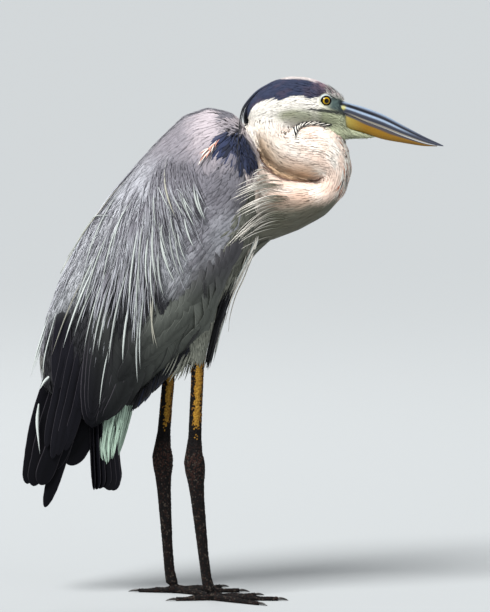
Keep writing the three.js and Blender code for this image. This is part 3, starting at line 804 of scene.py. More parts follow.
def feather_finish(name, barb, roughness, streak, specular=0.2, sheen=0.08, soft=0.0, bump=0.35):
    """Feather keratin: soft and matt, with barbs slanting from the shaft that show as fine streaks `barb` mm
    wide. Loose barbs lock with their neighbours', so by `soft` it takes the light as the plumage lies and not
    feather by feather."""
    material, tree = blank_finish(name)
    place = node(tree, "ShaderNodeAttribute", attribute_name="vane")
    split = node(tree, "ShaderNodeSeparateXYZ", {"Vector": place.outputs["Vector"]})
    out = node(tree, "ShaderNodeMath", {0: split.outputs["X"]}, operation="ABSOLUTE")
    slant = node(tree, "ShaderNodeMath", {0: out.outputs[0], 1: BARB_SLANT, 2: split.outputs["Y"]},
                 operation="MULTIPLY_ADD")
    own = node(tree, "ShaderNodeMath", {0: split.outputs["Z"], 1: OWN_GRAIN, 2: slant.outputs[0]},
               operation="MULTIPLY_ADD")
    spot = node(tree, "ShaderNodeCombineXYZ", {"X": own.outputs[0], "Y": split.outputs["Z"]})
    streaks = node(tree, "ShaderNodeTexNoise", {"Vector": spot.outputs[0], "Scale": 1 / barb, "Detail": 3.0})
    lay = node(tree, "ShaderNodeAttribute", attribute_name="lay")
    own_way = node(tree, "ShaderNodeNewGeometry")
    leaning = node(tree, "ShaderNodeVectorMath", {0: lay.outputs["Vector"], "Scale": soft}, operation="SCALE")
    mixed = node(tree, "ShaderNodeVectorMath", {
        0: own_way.outputs["Normal"], 1: (1 - soft, 1 - soft, 1 - soft), 2: leaning.outputs[0],
    }, operation="MULTIPLY_ADD")
    faced = node(tree, "ShaderNodeVectorMath", {0: mixed.outputs[0]}, operation="NORMALIZE")
    raised = node(tree, "ShaderNodeBump", {
        "Height": streaks.outputs["Fac"], "Strength": bump, "Distance": 0.0004, "Normal": faced.outputs[0],
    })
    shader = node(tree, "ShaderNodeBsdfPrincipled", {
        "Base Color": grained_colour(tree, streaks, streak), "Roughness": roughness,
        "Normal": raised.outputs[0], "Specular IOR Level": specular, "Sheen Weight": sheen,
        "Sheen Roughness": 0.6,
    })
    node(tree, "ShaderNodeOutputMaterial", {"Surface": shader.outputs[0]})
    return material


def mottled_finish(name, grain, roughness, tint=0.12, specular=0.4, coat_weight=0.0, bump=0.3):
    """A piece's own colours broken up by a fine grain, `grain` mm across: skin, horn or scale."""
    material, tree = blank_finish(name)
    where = node(tree, "ShaderNodeTexCoord")
    noise = node(tree, "ShaderNodeTexNoise", {
        "Vector": where.outputs["Object"], "Scale": 1 / (grain * MM), "Detail": 4.0,
    })
    raised = node(tree, "ShaderNodeBump", {
        "Height": noise.outputs["Fac"], "Strength": bump, "Distance": 0.0005,
    })
    shader = node(tree, "ShaderNodeBsdfPrincipled", {
        "Base Color": grained_colour(tree, noise, tint), "Roughness": roughness, "Normal": raised.outputs[0],
        "Specular IOR Level": specular, "Coat Weight": coat_weight, "Coat Roughness": 0.1,
    })
    node(tree, "ShaderNodeOutputMaterial", {"Surface": shader.outputs[0]})
    return material


# A heron's barbs stand about 0.3 mm apart. They are drawn here as streaks four or five times as wide, so that
# they still show from across a room.
# Contour feathers: matt, with a fine grain along each feather, and soft where they lie over each other.
plumage_finish = feather_finish("contour_feather", barb=1.2, roughness=0.82, streak=0.12, soft=0.6, bump=0.2)
# Silky feathers of the head and neck: one smooth pile, in which no single feather stands out.
silky_finish = feather_finish("silky_feather", barb=1.2, roughness=0.85, streak=0.03, soft=0.92, bump=0.04)
# Flight feathers: firmer and darker vanes with a faint shine and barbs that can be made out.
quill_finish = feather_finish("flight_feather", barb=1.6, roughness=0.65, streak=0.2, specular=0.07,
                              sheen=0.0)
# Down on the skin: dull and uneven, as what is seen in the gaps between feathers.
down_finish = mottled_finish("skin_with_down", grain=2.5, roughness=0.9, tint=0.15, specular=0.15)
# Horn of the bill: a soft shine along its ridge, and faint blotches as in worn keratin.
horn_finish = mottled_finish("bill_horn", grain=1.5, roughness=0.36, specular=0.35, bump=0.12)
# Scales of the legs: dry and almost without shine, with each plate a little lighter or darker.
scale_finish = mottled_finish("leg_scale", grain=1.2, roughness=0.6, tint=0.2, specular=0.08)
# Horn of the claws: dark, with a clear small highlight.
claw_finish = mottled_finish("claw_horn", grain=1.0, roughness=0.35, tint=0.15, specular=0.5, bump=0.15)
# Surface of the eye: wet, with one sharp glint over the iris and the pupil.
eye_finish = mottled_finish("eye_surface", grain=0.8, roughness=0.15, tint=0.06, specular=0.15,
                            coat_weight=0.12, bump=0.0)
# Skin of the lids: finely wrinkled, and a little moist at the rim.
lid_finish = mottled_finish("lid_skin", grain=0.6, roughness=0.5, tint=0.08, bump=0.2)


# ---------------------------------------------------------------- the skin piece
# The skin takes the plumage's colours a fifth darker, which is painted shade in the gaps between feathers;
# the bare skin by the eye is lifted back to full colour.
skin_colours = plumage(skin_points, part_of, np.full(len(skin_points), 0.5)) * 0.8
bare, _ = from_line(skin_points[:, 0], skin_points[:, 2], LORE)
is_bare = (part_of == HEAD) * (1 - ramp(7, 10, bare))
skin_colours = skin_colours * (1 + 0.25 * is_bare[:, None])
make("skin", skin_points, form_faces, down_finish, skin_colours, FLESH)


# ---------------------------------------------------------------- the coat
centre = skin.points[form_faces].mean(axis=1)
centre_x, centre_y, centre_z = centre.T
face_part = part_of[form_faces[:, 0]]
by_name = {key: of_part(face_part, key) for key in COAT_DEPTH}


def short_over_legs(roots):
    """Shorter feathers where the legs come out of the belly."""
    x, y, z = roots.T
    near = 1 - ramp(14, 30, np.abs(x + 41 + set_back(300, y)))
    return 1 - near * (1 - np.clip((z - 300) / 36, 0.25, 1))


def mixture(**limits):
    """A paint that gives each feather one of several tones: the first whose limit its chance is under."""
    def paint(_, __, chance):
        tones = np.array([TONES[key] for key in limits])
        return tones[np.searchsorted(list(limits.values()), chance, side="right")]
    return paint


eye_away = np.hypot(centre_x - EYE.x, centre_z - EYE.z)
lore_away, _ = from_line(centre_x, centre_z, LORE)
bald = ((eye_away < 8.6) | (lore_away < 5.2)) & (np.abs(centre_y) > 5)
head_faces = by_name["head"] & ~bald
face_zone = head_faces & (centre_x > 96)
silky = {"wander": 0.07, "spread_tone": 0.05, "material": silky_finish}
coat("coat_face", face_zone, 1.5, (5, 8), (0.9, 1.3), stations=3, thickness=0.3, proud=0.3,
     shape=(0.7, 1, 0.12), slot="head")
coat("coat_head", head_faces & ~face_zone, 1.7, (8, 13), (1.2, 1.7), thickness=0.1, proud=0.2, rise=0.05,
     slot="head", **silky)
silky |= {"thickness": 0.05, "rise": 0.02, "wander": 0.05, "spread_tone": 0.02, "shade": (0.98, 1.02)}
for key, length, width, proud in (
    ("neck_upper", (12, 20), (1.9, 2.8), 0.08), ("neck_bend", (12, 20), (1.8, 2.6), 0.12),
    ("neck_lower", (20, 32), (1.5, 2.3), 0.35),
):
    coat(f"coat_{key}", face_part == FLESH.index(key), 2.0, length, width, proud=proud, slot=key, **silky)
front_edge = (face_part == FLESH.index("neck_bend")) & (centre_x > 116) & (np.abs(centre_y) < 17)
coat("coat_throat_streak", front_edge & (centre_z > 512) & (centre_z < 576), 2.4, (16, 28), (1.1, 1.8),
     stations=6, thickness=0.3, proud=1.5, wander=0.1, spread_tone=0.05, slot="neck_bend",
     paint=mixture(white=0.6, line=0.78, rufous=1))
coat("coat_bristle", head_faces & (centre_x > 118) & (centre_z > 601), 2.0, (6, 11), (0.5, 0.9),
     thickness=0.2, proud=2.2, wander=0.3, slot="head", paint=mixture(line=0.45, forehead=1))
broad = {"stations": 6, "section": VANE, "shape": (0.5, 0.9, 1, 0.9, 0.6, 0.1)}
flat = {
    "thickness": 0.1, "proud": 0.2, "rise": 0.18, "wander": 0.08, "spread_tone": 0.04, "shade": (0.96, 1.02),
}
for side, sign in SIDES.items():
    half = centre_y * sign > 0
    outward = skin.face_normals[:, 1] * sign > -0.25
    back = by_name["scapulars"] & half & outward
    coat(f"coat_mantle_top_{side}", back & (centre_z > 500), 3.8, (24, 36), (4.0, 6.5),
         slot=f"scapulars_{side}", **broad, **flat)
    coat(f"coat_mantle_{side}", back & (centre_z < 512), 2.8, (26, 44), (1.9, 3.2), stations=5,
         thickness=0.22, wander=0.08, spread_tone=0.05, shade=(0.93, 1.04), slot=f"scapulars_{side}")
    wing = by_name["wing"] & half & outward
    coat(f"coat_shoulder_{side}", wing & (centre_z > 470), 4.0, (22, 34), (5.0, 8.0), slot=f"wing_{side}",
         **broad, **flat)
    upper = wing & (centre_z > np.interp(centre_x, [-180, -60], [335, 395])) & (centre_z < 485)
    coat(f"coat_coverts_{side}", upper, 4.2, (26, 40), (5.5, 8), thickness=0.15, proud=0.25, rise=0.2,
         spread_tone=0.05, shade=(0.93, 1.03), slot=f"wing_{side}", **broad)
    coat(f"coat_thigh_{side}", by_name["thigh"] & half & (centre_z > 304), 2.4, (14, 20), (1.8, 2.8),
         proud=0.4, thickness=0.25, spread_tone=0.04, slot=f"thigh_{side}")
nape = by_name["trunk"] & (centre_z > 500)
coat("coat_nape", nape, 2.4, (11, 17), (2.0, 3.0), thickness=0.15, proud=0.3, spread_tone=0.03,
     shade=(0.97, 1.02), slot="trunk")
coat("coat_trunk", by_name["trunk"] & ~nape, 4.4, (26, 40), (4.5, 6.5), stations=5, thickness=0.4, proud=0.7,
     slot="trunk", reach=short_over_legs)


# ---------------------------------------------------------------- long feathers
QUILL = [  # a broad feather's section: its rims, its vanes, its shaft and its underside
    (-1, 0), (-0.91, 0.13), (-0.85, 0.2), (-0.42, 0.5), (0, 1), (0.42, 0.5), (0.85, 0.2), (0.91, 0.13),
    (1, 0), (0, -0.4),
]
WING_HALF = [14, 33, 53, 66, 72, 74, 72, 66, 56, 44, 33, 24]  # half the width of the folded wings at each row


def tipward(stations):
    """Shares along a broad feather, closer together towards its rounded tip."""
    return 1 - (1 - np.linspace(0, 1, stations)) ** 1.7


class WingShell:
    """The outside of the folded wings. A place on it is counted in rows along it and in shares across, from
    the back edge at 0 to the front or lower edge at 1."""

    def __init__(self):
        self.rows = np.column_stack([LIE["wing"], WING_HALF])
        along, across = np.linspace(0, len(self.rows) - 1, 331), np.linspace(0.01, 0.99, 99)
        self.places = np.stack(np.meshgrid(along, across), axis=-1).reshape(-1, 2)
        self.seen = self.at(*self.places.T, 1)[:, [0, 2]]

    def at(self, along, across, sign):
        row = spline(self.rows, along)
        rise = 1 - 2 * across
        out = np.sqrt(np.clip(1 - rise**2, 0, 1)) ** np.where(rise < 0, 0.65, 1)
        upper, lower = row[..., :2], row[..., 2:4]
        xz = (upper + lower) / 2 + (upper - lower) / 2 * rise[..., None]
        return in_space(xz, sign * row[..., 4] * out * (1 - 0.06 * rise))

    def normal(self, along, across, sign):
        e = 0.01
        down = self.at(along + e, across, sign) - self.at(along - e, across, sign)
        over = self.at(along, across + e, sign) - self.at(along, across - e, sign)
        normal = unit(np.cross(down, over))
        return normal * np.where(normal[..., 1:2] * sign < 0, -1, 1)

    def locate(self, xz):
        xz = np.asarray(xz, float)
        return self.places[((xz[:, None] - self.seen) ** 2).sum(axis=2).argmin(axis=1)]

    def paths(self, roots, tips, bow, stations, sign):
        """Paths over the shell from roots to tips, given as x and z, bowed towards the lower edge."""
        start, end = self.locate(roots), self.locate(tips)
        t = tipward(stations)
        along = start[:, :1] + (end[:, :1] - start[:, :1]) * t
        across = start[:, 1:] + (end[:, 1:] - start[:, 1:]) * t + bow * np.sin(math.pi * t)
        across = np.clip(across, 0.02, 0.975)
        return self.at(along, across, sign), self.normal(along, across, sign)


def quills(name, paths, normals, half, tones, *, blunt, replaced=(), thickness=0.55, tilt=0.0,
           camber=0.012, rim=0.6):
    """Broad feathers with a raised shaft and paler edges, on stations that tipward() spaces. `tones` holds a
    colour for each or gives one for every point, and `blunt` is the share of the length over which the tip
    rounds off. Each has a strip of its own in the bake map."""
    count, stations, _ = paths.shape
    t = tipward(stations)
    blunt = np.broadcast_to(blunt, count)[:, None]
    end = np.clip((t - 1 + blunt) / blunt, 0, 1)
    outline = np.interp(t, [0, 0.12, 0.4], [0.5, 0.85, 1]) * np.maximum(np.sqrt(1 - end**2), 0.08)
    widths = np.asarray(half)[:, None] * outline * (1 + 0.015 * rng.normal(size=(count, stations)))
    ridge = np.full((count, stations), thickness) * (1.15 - 0.5 * t)
    points, faces, vane = feathers(paths, normals, widths, ridge, QUILL, tilt, camber)
    from_shaft = np.append(np.tile([a for a, _ in QUILL], stations), [0, 0])
    along = np.concatenate([np.repeat(t, len(QUILL)), [0, 1]])
    pale = ramp(0.9, 1, np.abs(from_shaft))[None, :, None] * rim
    shaft = (ramp(0.12, 0, np.abs(from_shaft)) * 0.25)[None, :, None]
    base = tones(points).reshape(count, -1, 3) if callable(tones) else np.asarray(tones)[:, None]
    base = base * (1.1 - 0.25 * along[None, :, None]) * rng.uniform(0.92, 1.08, (count, 1, 1))
    edge = np.minimum(base * 2.5 + 0.08, TONES["quill_edge"])
    colours = base + np.maximum(edge - base, 0) * pale
    colours = np.clip(colours * (1 - shaft), 0, 1).reshape(-1, 3)
    columns = math.ceil(count**0.5 * 1.6)
    lines = math.ceil(count / columns)
    corner = np.column_stack([np.arange(count) % columns, np.arange(count) // columns])
    inside = np.column_stack([0.5 + 0.42 * from_shaft, 0.04 + 0.92 * along])
    bake = ((corner[:, None] + inside) / [columns, lines]).reshape(-1, 2)
    make(name, points, faces, quill_finish, colours, replaced, vane=vane, bake=bake)


shell = WingShell()
LOWER_EDGE = [[-50, 322], [-70, 301], [-98, 272], [-124, 247], [-150, 226], [-171, 212]]
TERTIALS = np.array([  # root, middle and tip (x and z), half width, share that rounds off
    [-203, 372, -207, 315, -212, 259, 13, 0.4], [-156, 384, -163, 300, -174, 216, 17.5, 0.4],
    [-156, 376, -162, 302, -172.5, 223, 14, 0.45], [-153, 366, -160, 302, -171, 231, 10.5, 0.45],
])
SHEATHS = np.array([  # the feathers that bridge from the wing to the primaries, without the last number
    [-176, 300, -187, 240, -204, 182, 7], [-182, 312, -195, 248, -213, 176, 7.5],
    [-189, 322, -201, 255, -220, 172, 8], [-197, 330, -209, 262, -227, 186, 8],
])
SECONDARIES = 14


def flight_tone(p):
    """The folded wing's colour: greenish or brownish grey at the front edge and almost black further back."""
    x, _, z = p.T
    back = 0.6 * ramp(-80, -135, x) + 0.4 * ramp(-140, -190, x + 0.2 * (z - 260))
    return layered(
        "front", p,
        ("covert", ramp(360, 420, z)),
        ("quill", back * (0.2 + 0.8 * ramp(390, 335, z))),
        # Darker towards the bottom: partly the wing's own dark quills, partly painted shade on its lower,
        # downward-facing part.
        ("dark", 0.35 * ramp(345, 270, z) + 0.35 * back * ramp(385, 320, z)),
    )


def three_point(table, t):
    """Curves at shares `t` along, whose roots, middles and tips (x and z) begin the rows of a table."""
    return np.stack([spline(row[:6].reshape(3, 2), 2 * t) for row in table])


def bridged(values, times):
    """Values along curves, raised where that spans a hollow."""
    for _ in range(times):
        near = np.pad(values, ((0, 0), (1, 1)), mode="edge")
        values = np.maximum(values, (near[:, :-2] + near[:, 2:]) / 2)
    return values


def laid_out(paths, normals, sign, lift):
    """The same paths laid over the wing's own surface, at `lift` above it."""
    over, facing = draped(paths[..., [0, 2]], sign, lift)
    return over, unit(normals + facing)


def past_edge(curves, sign, end, lift):
    """Curves that lie over the wing and run on past its edge, where they come in to `end` from the middle
    plane."""
    at, _, _ = form.from_side(curves[..., 0], curves[..., 1], sign)
    at = at.reshape(*curves.shape[:2], 3)
    off = np.hypot(at[..., 0] - curves[..., 0], at[..., 2] - curves[..., 1])
    over = np.where(off < 0.5, np.abs(at[..., 1]) + lift, 0)
    aside = np.maximum(over, over[:, :1] + (end - over[:, :1]) * tipward(curves.shape[1]))
    return in_space(curves, sign * bridged(aside, 3))


def flight_feathers(side, sign):
    """Secondaries along the lower edge, tertials over them, and the rows of greater coverts over both."""
    stations = 22
    t = tipward(stations)
    tips = spline(LOWER_EDGE, np.linspace(0.2, 5, SECONDARIES) ** 0.9 * 5**0.1)
    lean = np.linspace(0, 1, SECONDARIES)[:, None]
    roots = tips + [46, 138] + lean * [-26, 10]
    paths, normals = shell.paths(roots, tips, 0.15, stations, sign)
    sunk = np.interp(t, [0, 0.25], [-4, 0])
    lift = 0.6 + 0.02 * np.arange(SECONDARIES)[:, None] + 1.2 * t + sunk
    paths, normals = laid_out(paths, normals, sign, lift)
    quills(f"secondaries_{side}", paths, normals, np.full(SECONDARIES, 12.0), flight_tone, tilt=0.055 * sign,
           blunt=0.3, rim=0.85)
    lift = 1.8 + 0.4 * np.arange(len(TERTIALS))[:, None] + 0.6 * t + 1.5 * sunk
    paths, normals = draped(three_point(TERTIALS, t), sign, lift)
    quills(f"tertials_{side}", paths, normals, TERTIALS[:, 6], flight_tone, tilt=0.02 * sign, rim=1.0,
           blunt=TERTIALS[:, 7])
    end = 15.6 + 0.5 * np.arange(len(SHEATHS))[:, None]
    paths = past_edge(three_point(SHEATHS, t), sign, end, 1.4 + sunk)
    quills(f"primary_coverts_{side}", paths, unit(np.array([0.1, sign, -0.1])), SHEATHS[:, 6], flight_tone,
           camber=0.01, blunt=0.3)
    count, stations = 15, 12
    t = tipward(stations)
    for row, (rise, reach) in enumerate([(62, 62), (96, 50)]):
        tips = spline(LOWER_EDGE, np.linspace(0, 4.6, count)) + [0.42 * rise, 0.9 * rise]
        roots = tips + [0.36 * reach, 0.93 * reach]
        paths, normals = shell.paths(roots, tips, 0.04, stations, sign)
        lift = 1.0 + 0.3 * row + 1.4 * t + 0.02 * np.arange(count)[:, None]
        lift = lift + np.interp(t, [0, 0.4], [-4.5, 0])
        paths, normals = laid_out(paths, normals, sign, lift)
        quills(f"greater_coverts_{row + 1}_{side}", paths, normals, np.full(count, 10.5), flight_tone,
               tilt=0.05 * sign, blunt=0.3, rim=0.12)


# Root, middle and tip (x and z), distance from the middle plane, half width, share that rounds off.
PRIMARIES = [
    [-160, 262, -178, 205, -201, 163.5, 7.5, 13.5, 0.22],
    [-186, 240, -212, 165, -229.4, 111.5, 9.0, 8.5, 0.38],
    [-182, 262, -200, 205, -219, 158, 10.2, 10, 0.2],
    [-204, 330, -239, 218, -251, 140.5, 11.4, 7.5, 0.10],
    [-192, 320, -226, 214, -243.5, 138, 12.8, 10, 0.12],
    [-180, 305, -210, 207, -234.5, 139.5, 14.2, 11.5, 0.14],
]


def free_quills(name, lines, facing, half, blunt, stands_for):
    """Flight feathers that hang clear of the body in place of a solid, along lines of three points each."""
    stations = 20
    paths = np.stack([spline(line, 2 * tipward(stations)) for line in lines])
    tones = plain("primary", paths) * rng.uniform(0.85, 1.2, (len(paths), 1))
    quills(name, paths, unit(facing)[:, None], half, tones, thickness=0.6, camber=0.008, blunt=blunt,
           replaced=[stands_for])


def primaries(side, sign):
    """The ends of the primaries, which hang past the tail."""
    lines = [
        [[root_x, sign * aside * 0.85, root_z], [mid_x, sign * aside, mid_z], [tip_x, sign * aside, tip_z]]
        for root_x, root_z, mid_x, mid_z, tip_x, tip_z, aside, _, _ in PRIMARIES
    ]
    half, blunt = np.array(PRIMARIES)[:, 7:].T
    facing = np.tile([0.05, sign, 0.0], (len(lines), 1))
    free_quills(f"primary_feathers_{side}", lines, facing, half, blunt, f"primaries_{side}")


def tail():
    """Twelve feathers side by side like a roof, its ridge towards the back, closed in two lobes."""
    out = np.array([-1, -0.86, -0.68, -0.46, -0.28, -0.1, 0.1, 0.28, 0.46, 0.68, 0.86, 1])
    away = np.abs(out)
    same = np.ones(len(out))
    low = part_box("tail")[0].z / MM + 7 * away * (away < 0.8) + 2 * (away > 0.8)
    root = np.column_stack([-171 + 14 * away**2, 8 * out, 282 * same])
    tip = np.column_stack([-169 + 24 * away**1.5, 17.5 * out, low])
    middle = (root + tip) / 2 + np.column_stack([-1.5 * same, 2 * out, 0 * same])
    facing = unit(np.column_stack([-0.8 * same, 1.8 * out, -0.05 * same]))
    layer = facing * (1.6 * (1 - away))[:, None]
    lines = np.stack([root + layer, middle + layer, tip + layer], axis=1)
    free_quills("tail_feathers", lines, facing, 11.5 * same, 0.11, "tail")


def strands(name, paths, normals, width, root_tone, tip_tone, thickness=0.5, fade=(0.0, 0.5),
            outline=(0.3, 0.8, 1, 0.9, 0.6, 0.08), replaced=(), smoothly=False):
    """Long thin plumes along given paths, whose colour changes from the root's to the tip's over `fade`.
    `smoothly` lets them take the light as they lie, and not strand by strand."""
    count, stations, _ = paths.shape
    normals = np.broadcast_to(normals, paths.shape)
    t = np.linspace(0, 1, stations)
    half = np.broadcast_to(width, count)[:, None] / 2 * np.interp(t, np.linspace(0, 1, len(outline)), outline)
    points, faces, vane = feathers(paths, normals, half, np.full_like(half, thickness), THREAD)
    change = ramp(*fade, share_along(stations, 3))[None, :, None]
    root_tone, tip_tone = (np.broadcast_to(tone, (count, 3))[:, None] for tone in (root_tone, tip_tone))
    colours = np.clip(root_tone + (tip_tone - root_tone) * change, 0, 1)
    _, _, face = skin.nearest(paths[:, 0])
    bake = bake_map(bake_places(face, np.full((count, 3), 1 / 3)), THREAD, stations)
    make(name, points, faces, plumage_finish, colours.reshape(-1, 3), replaced, vane=vane, bake=bake,
         lay=unit(at_points(normals, len(THREAD))) if smoothly else None)


def bowed(root, control, tip, stations):
    """Smooth curves from roots to tips that lean towards control points."""
    t = np.linspace(0, 1, stations)[None, :, None]
    root, control, tip = (np.asarray(p, float)[:, None] for p in (root, control, tip))
    return (1 - t) ** 2 * root + 2 * t * (1 - t) * control + t**2 * tip


def draped(curves, sign, proud):
    """Curves drawn on the bird's side, laid over its plumage and bridging hollows: points and normals."""
    at, normal, _ = form.from_side(curves[..., 0], curves[..., 1], sign)
    aside = bridged(np.abs(at[:, 1]).reshape(curves.shape[:2]), 4)
    normal = normal.reshape(*curves.shape[:2], 3)
    for _ in range(4):
        near = np.pad(normal, ((0, 0), (1, 1), (0, 0)), mode="edge")
        normal = unit(near[:, :-2] + near[:, 2:] + normal)
    return in_space(curves, sign * aside) + np.asarray(proud)[..., None] * normal, normal


def scatter_line(line, count, jitter):
    """Places spread along a line of x and z, each moved a little at random."""
    return spline(line, np.linspace(0, len(line) - 1, count)) + rng.normal(0, jitter, (count, 2))


PLUME_TIPS = np.array([  # the lower ends of the long plumes of the back: x and z
    [-215, 303], [-204, 312], [-190, 330], [-177, 304], [-163, 242], [-148, 300], [-132, 293], [-117, 268],
    [-112, 298], [-96, 310], [-90, 322], [-85, 378], [-68, 381], [-60, 389], [-58, 411], [-47, 428],
    [-34, 471],
])
GATHER = np.array([-52.0, 610.0])  # towards which the long plumes draw together at their roots


def kept_in(curves, margin):
    """The same places, moved forward where they lie outside the back of the bird."""
    rising = BACK_EDGE[1:]
    edge = np.interp(curves[..., 1], rising[:, 1], rising[:, 0])
    return np.stack([np.maximum(curves[..., 0], edge + margin), curves[..., 1]], axis=-1)


def plume_curves(tips, length, stations):
    """Curves of long plumes that end at given tips, which hang as fan() says and draw together upwards."""
    count = len(tips)
    down = fan(np.column_stack([tips[:, 0], np.zeros(count), tips[:, 1]]))[:, [0, 2]]
    back = unit(GATHER - tips) * 0.75 - down * 0.45
    roots = tips + unit(back) * length[:, None]
    roots[:, 1] = np.minimum(roots[:, 1], 545 - rng.exponential(16, count))
    return kept_in(bowed(roots, tips - down * (0.5 * length)[:, None], tips, stations), 3.0)


def back_plumes(side, sign):
    """Fine silver threads over the lower mantle, and longer pale plumes that hang below them."""
    count, stations = 600, 10
    tips = scatter_line(PLUME_TIPS, count, 1.0)
    tips[:, 1] += rng.uniform(45, 160, count)
    tips[:, 0] += rng.normal(0, 7, count)
    tips[:, 1] = np.minimum(tips[:, 1], 492 - rng.exponential(22, count))
    tips = kept_in(tips, 5.0)
    curves = plume_curves(tips, rng.uniform(40, 80, count), stations)
    proud = rng.uniform(1.2, 2.6, (count, 1)) + np.linspace(-1.0, 0.8, stations)
    paths, normals = draped(curves, sign, proud)
    tone = TONES["silver"] * rng.uniform(0.5, 0.95, (count, 1))
    shaded = rng.random((count, 1)) < 0.38 * ramp(-115, -85, tips[:, :1])
    tone = np.where(shaded, TONES["dark"] * 2, tone * (1.25 - 0.25 * ramp(-115, -85, tips[:, :1])))
    strands(f"silver_threads_{side}", paths, normals, rng.uniform(0.7, 1.5, count), TONES["mantle"] * 1.3,
            tone, thickness=0.3, fade=(0.25, 0.9))
    extra, stations = 34, 16
    more = scatter_line(PLUME_TIPS, extra, 6.0) + [0, 12]
    more[:, 1] = np.minimum(more[:, 1] + rng.uniform(15, 105, extra), 470)
    tips = np.vstack([PLUME_TIPS + rng.normal(0, [1.2, 7], PLUME_TIPS.shape), more])
    count = len(tips)
    short = np.interp(tips[:, 0], [-200, -120, -80, -40], [1.0, 1.1, 0.8, 0.55])
    curves = plume_curves(tips, rng.uniform(85, 145, count) * short, stations)
    curves[..., 0] += rng.normal(0, 3.0, (count, 1)) * np.linspace(1, 0, stations)
    proud = rng.uniform(2.6, 4.4, (count, 1)) + np.linspace(-3.5, 1.6, stations)
    paths, normals = draped(curves, sign, proud)
    chance = rng.random((count, 1))
    tone = np.where(chance < 0.06, TONES["plume_warm"], TONES["plume"]) * rng.uniform(0.55, 1.0, (count, 1))
    strands(f"long_plumes_{side}", paths, normals, rng.uniform(1.5, 2.9, count), TONES["silver"] * 0.4, tone,
            outline=(0.15, 0.5, 0.9, 1, 0.75, 0.06))
    stations = 12
    stray = np.array([
        [[-222, 352], [-236, 310], [-246, 272]], [[-224, 340], [-235, 305], [-241, 283]],
        [[-219, 276], [-228, 268], [-235, 257]], [[-236, 240], [-238, 215], [-235, 178]],
        [[-216, 242], [-221, 230], [-224, 217]], [[-214, 352], [-228, 300], [-232, 262]],
    ], float)
    curves = np.stack([spline(line, np.linspace(0, 2, stations)) for line in stray])
    aside = np.array([22, 19, 18, 17.5, 17.2, 24])[:, None] + np.linspace(3, 0, stations)
    strands(f"stray_plumes_{side}", in_space(curves, sign * aside), [0.1, sign, 0.1],
            [1.6, 1.3, 4.0, 4.2, 2.8, 1.5], TONES["plume"] * 0.9, TONES["plume"],
            outline=(0.3, 0.8, 1, 0.8, 0.4, 0.05))


NECK_WISPS = [  # bunches of pale plume ends at the side of the neck: root, bend and tip, and how many
    [[44, 518], [30, 522], [19, 519], 5], [[42, 512], [26, 512], [12, 505], 5],
    [[60, 503], [26, 507], [-5, 491], 11], [[66, 488], [30, 492], [-2, 473], 12],
    [[62, 473], [24, 476], [-11, 438], 10], [[66, 462], [30, 464], [4, 446], 7],
]


def neck_wisps(side, sign):
    """Pale plume ends that fray from the side of the neck over the breast and the shoulder."""
    curves, stations = [], 14
    for root, bend, tip, count in NECK_WISPS:
        across = rng.normal(0, 1, (count, 1))
        length = rng.uniform(0.72, 1.0, (count, 1))
        start = root + across * [0, 5] + rng.normal(0, 2, (count, 2))
        end = start + (tip + across * [2.5, 5.5] - start) * length
        middle = np.array(bend, float) + across * [1, 5] + (1 - length) * (start - bend)
        curves.append(bowed(start, middle, end, stations))
    curves = np.vstack(curves)
    count = len(curves)
    proud = rng.uniform(2.0, 4.0, (count, 1)) + np.linspace(-2.5, 2.0, stations)
    paths, normals = draped(curves, sign, proud)
    tone = TONES["white"] * rng.uniform(0.8, 1.0, (count, 1))
    # The roots start in the olive grey that is painted shade under the neck.
    strands(f"neck_wisps_{side}", paths, normals, rng.uniform(0.7, 1.4, count), TONES["under"] * 1.4, tone,
            thickness=0.35, fade=(0.15, 0.75), outline=(0.2, 0.7, 1, 1, 0.7, 0.08))


def cheek_streak(side, sign):
    """Slanting black strokes under the cheek, with white ones between them."""
    place = np.arange(0.05, 3.3, 0.34)
    place = place + rng.normal(0, 0.03, len(place))
    stations = 9
    for name, later, width, proud in (("black", 0.0, 3.6, 2.4), ("white", 0.17, 1.6, 2.6)):
        along = np.clip(place[:, None] + later + np.linspace(0, 0.62, stations), 0, 4)
        reach = 0.6 + 0.5 * along / 4
        curves = spline(MOUSTACHE, along)
        run = unit(spline(MOUSTACHE, np.minimum(along + 0.1, 4)) - spline(MOUSTACHE, along - 0.1))
        slide = (np.linspace(3.5, -3.5, stations) + rng.normal(0, 0.3, (len(place), 1))) * reach
        curves = curves + np.stack([run[..., 1], -run[..., 0]], axis=-1) * slide[..., None]
        rise = np.full((len(place), 1), proud) + np.linspace(-0.6, 0.3, stations)
        paths, normals = draped(curves, sign, rise)
        width = width * np.linspace(0.85, 1.35, len(place))
        strands(f"cheek_streak_{name}_{side}", paths, normals, width, TONES[name], TONES[name],
                thickness=0.25, outline=(0.3, 0.9, 1, 0.9, 0.6, 0.1))


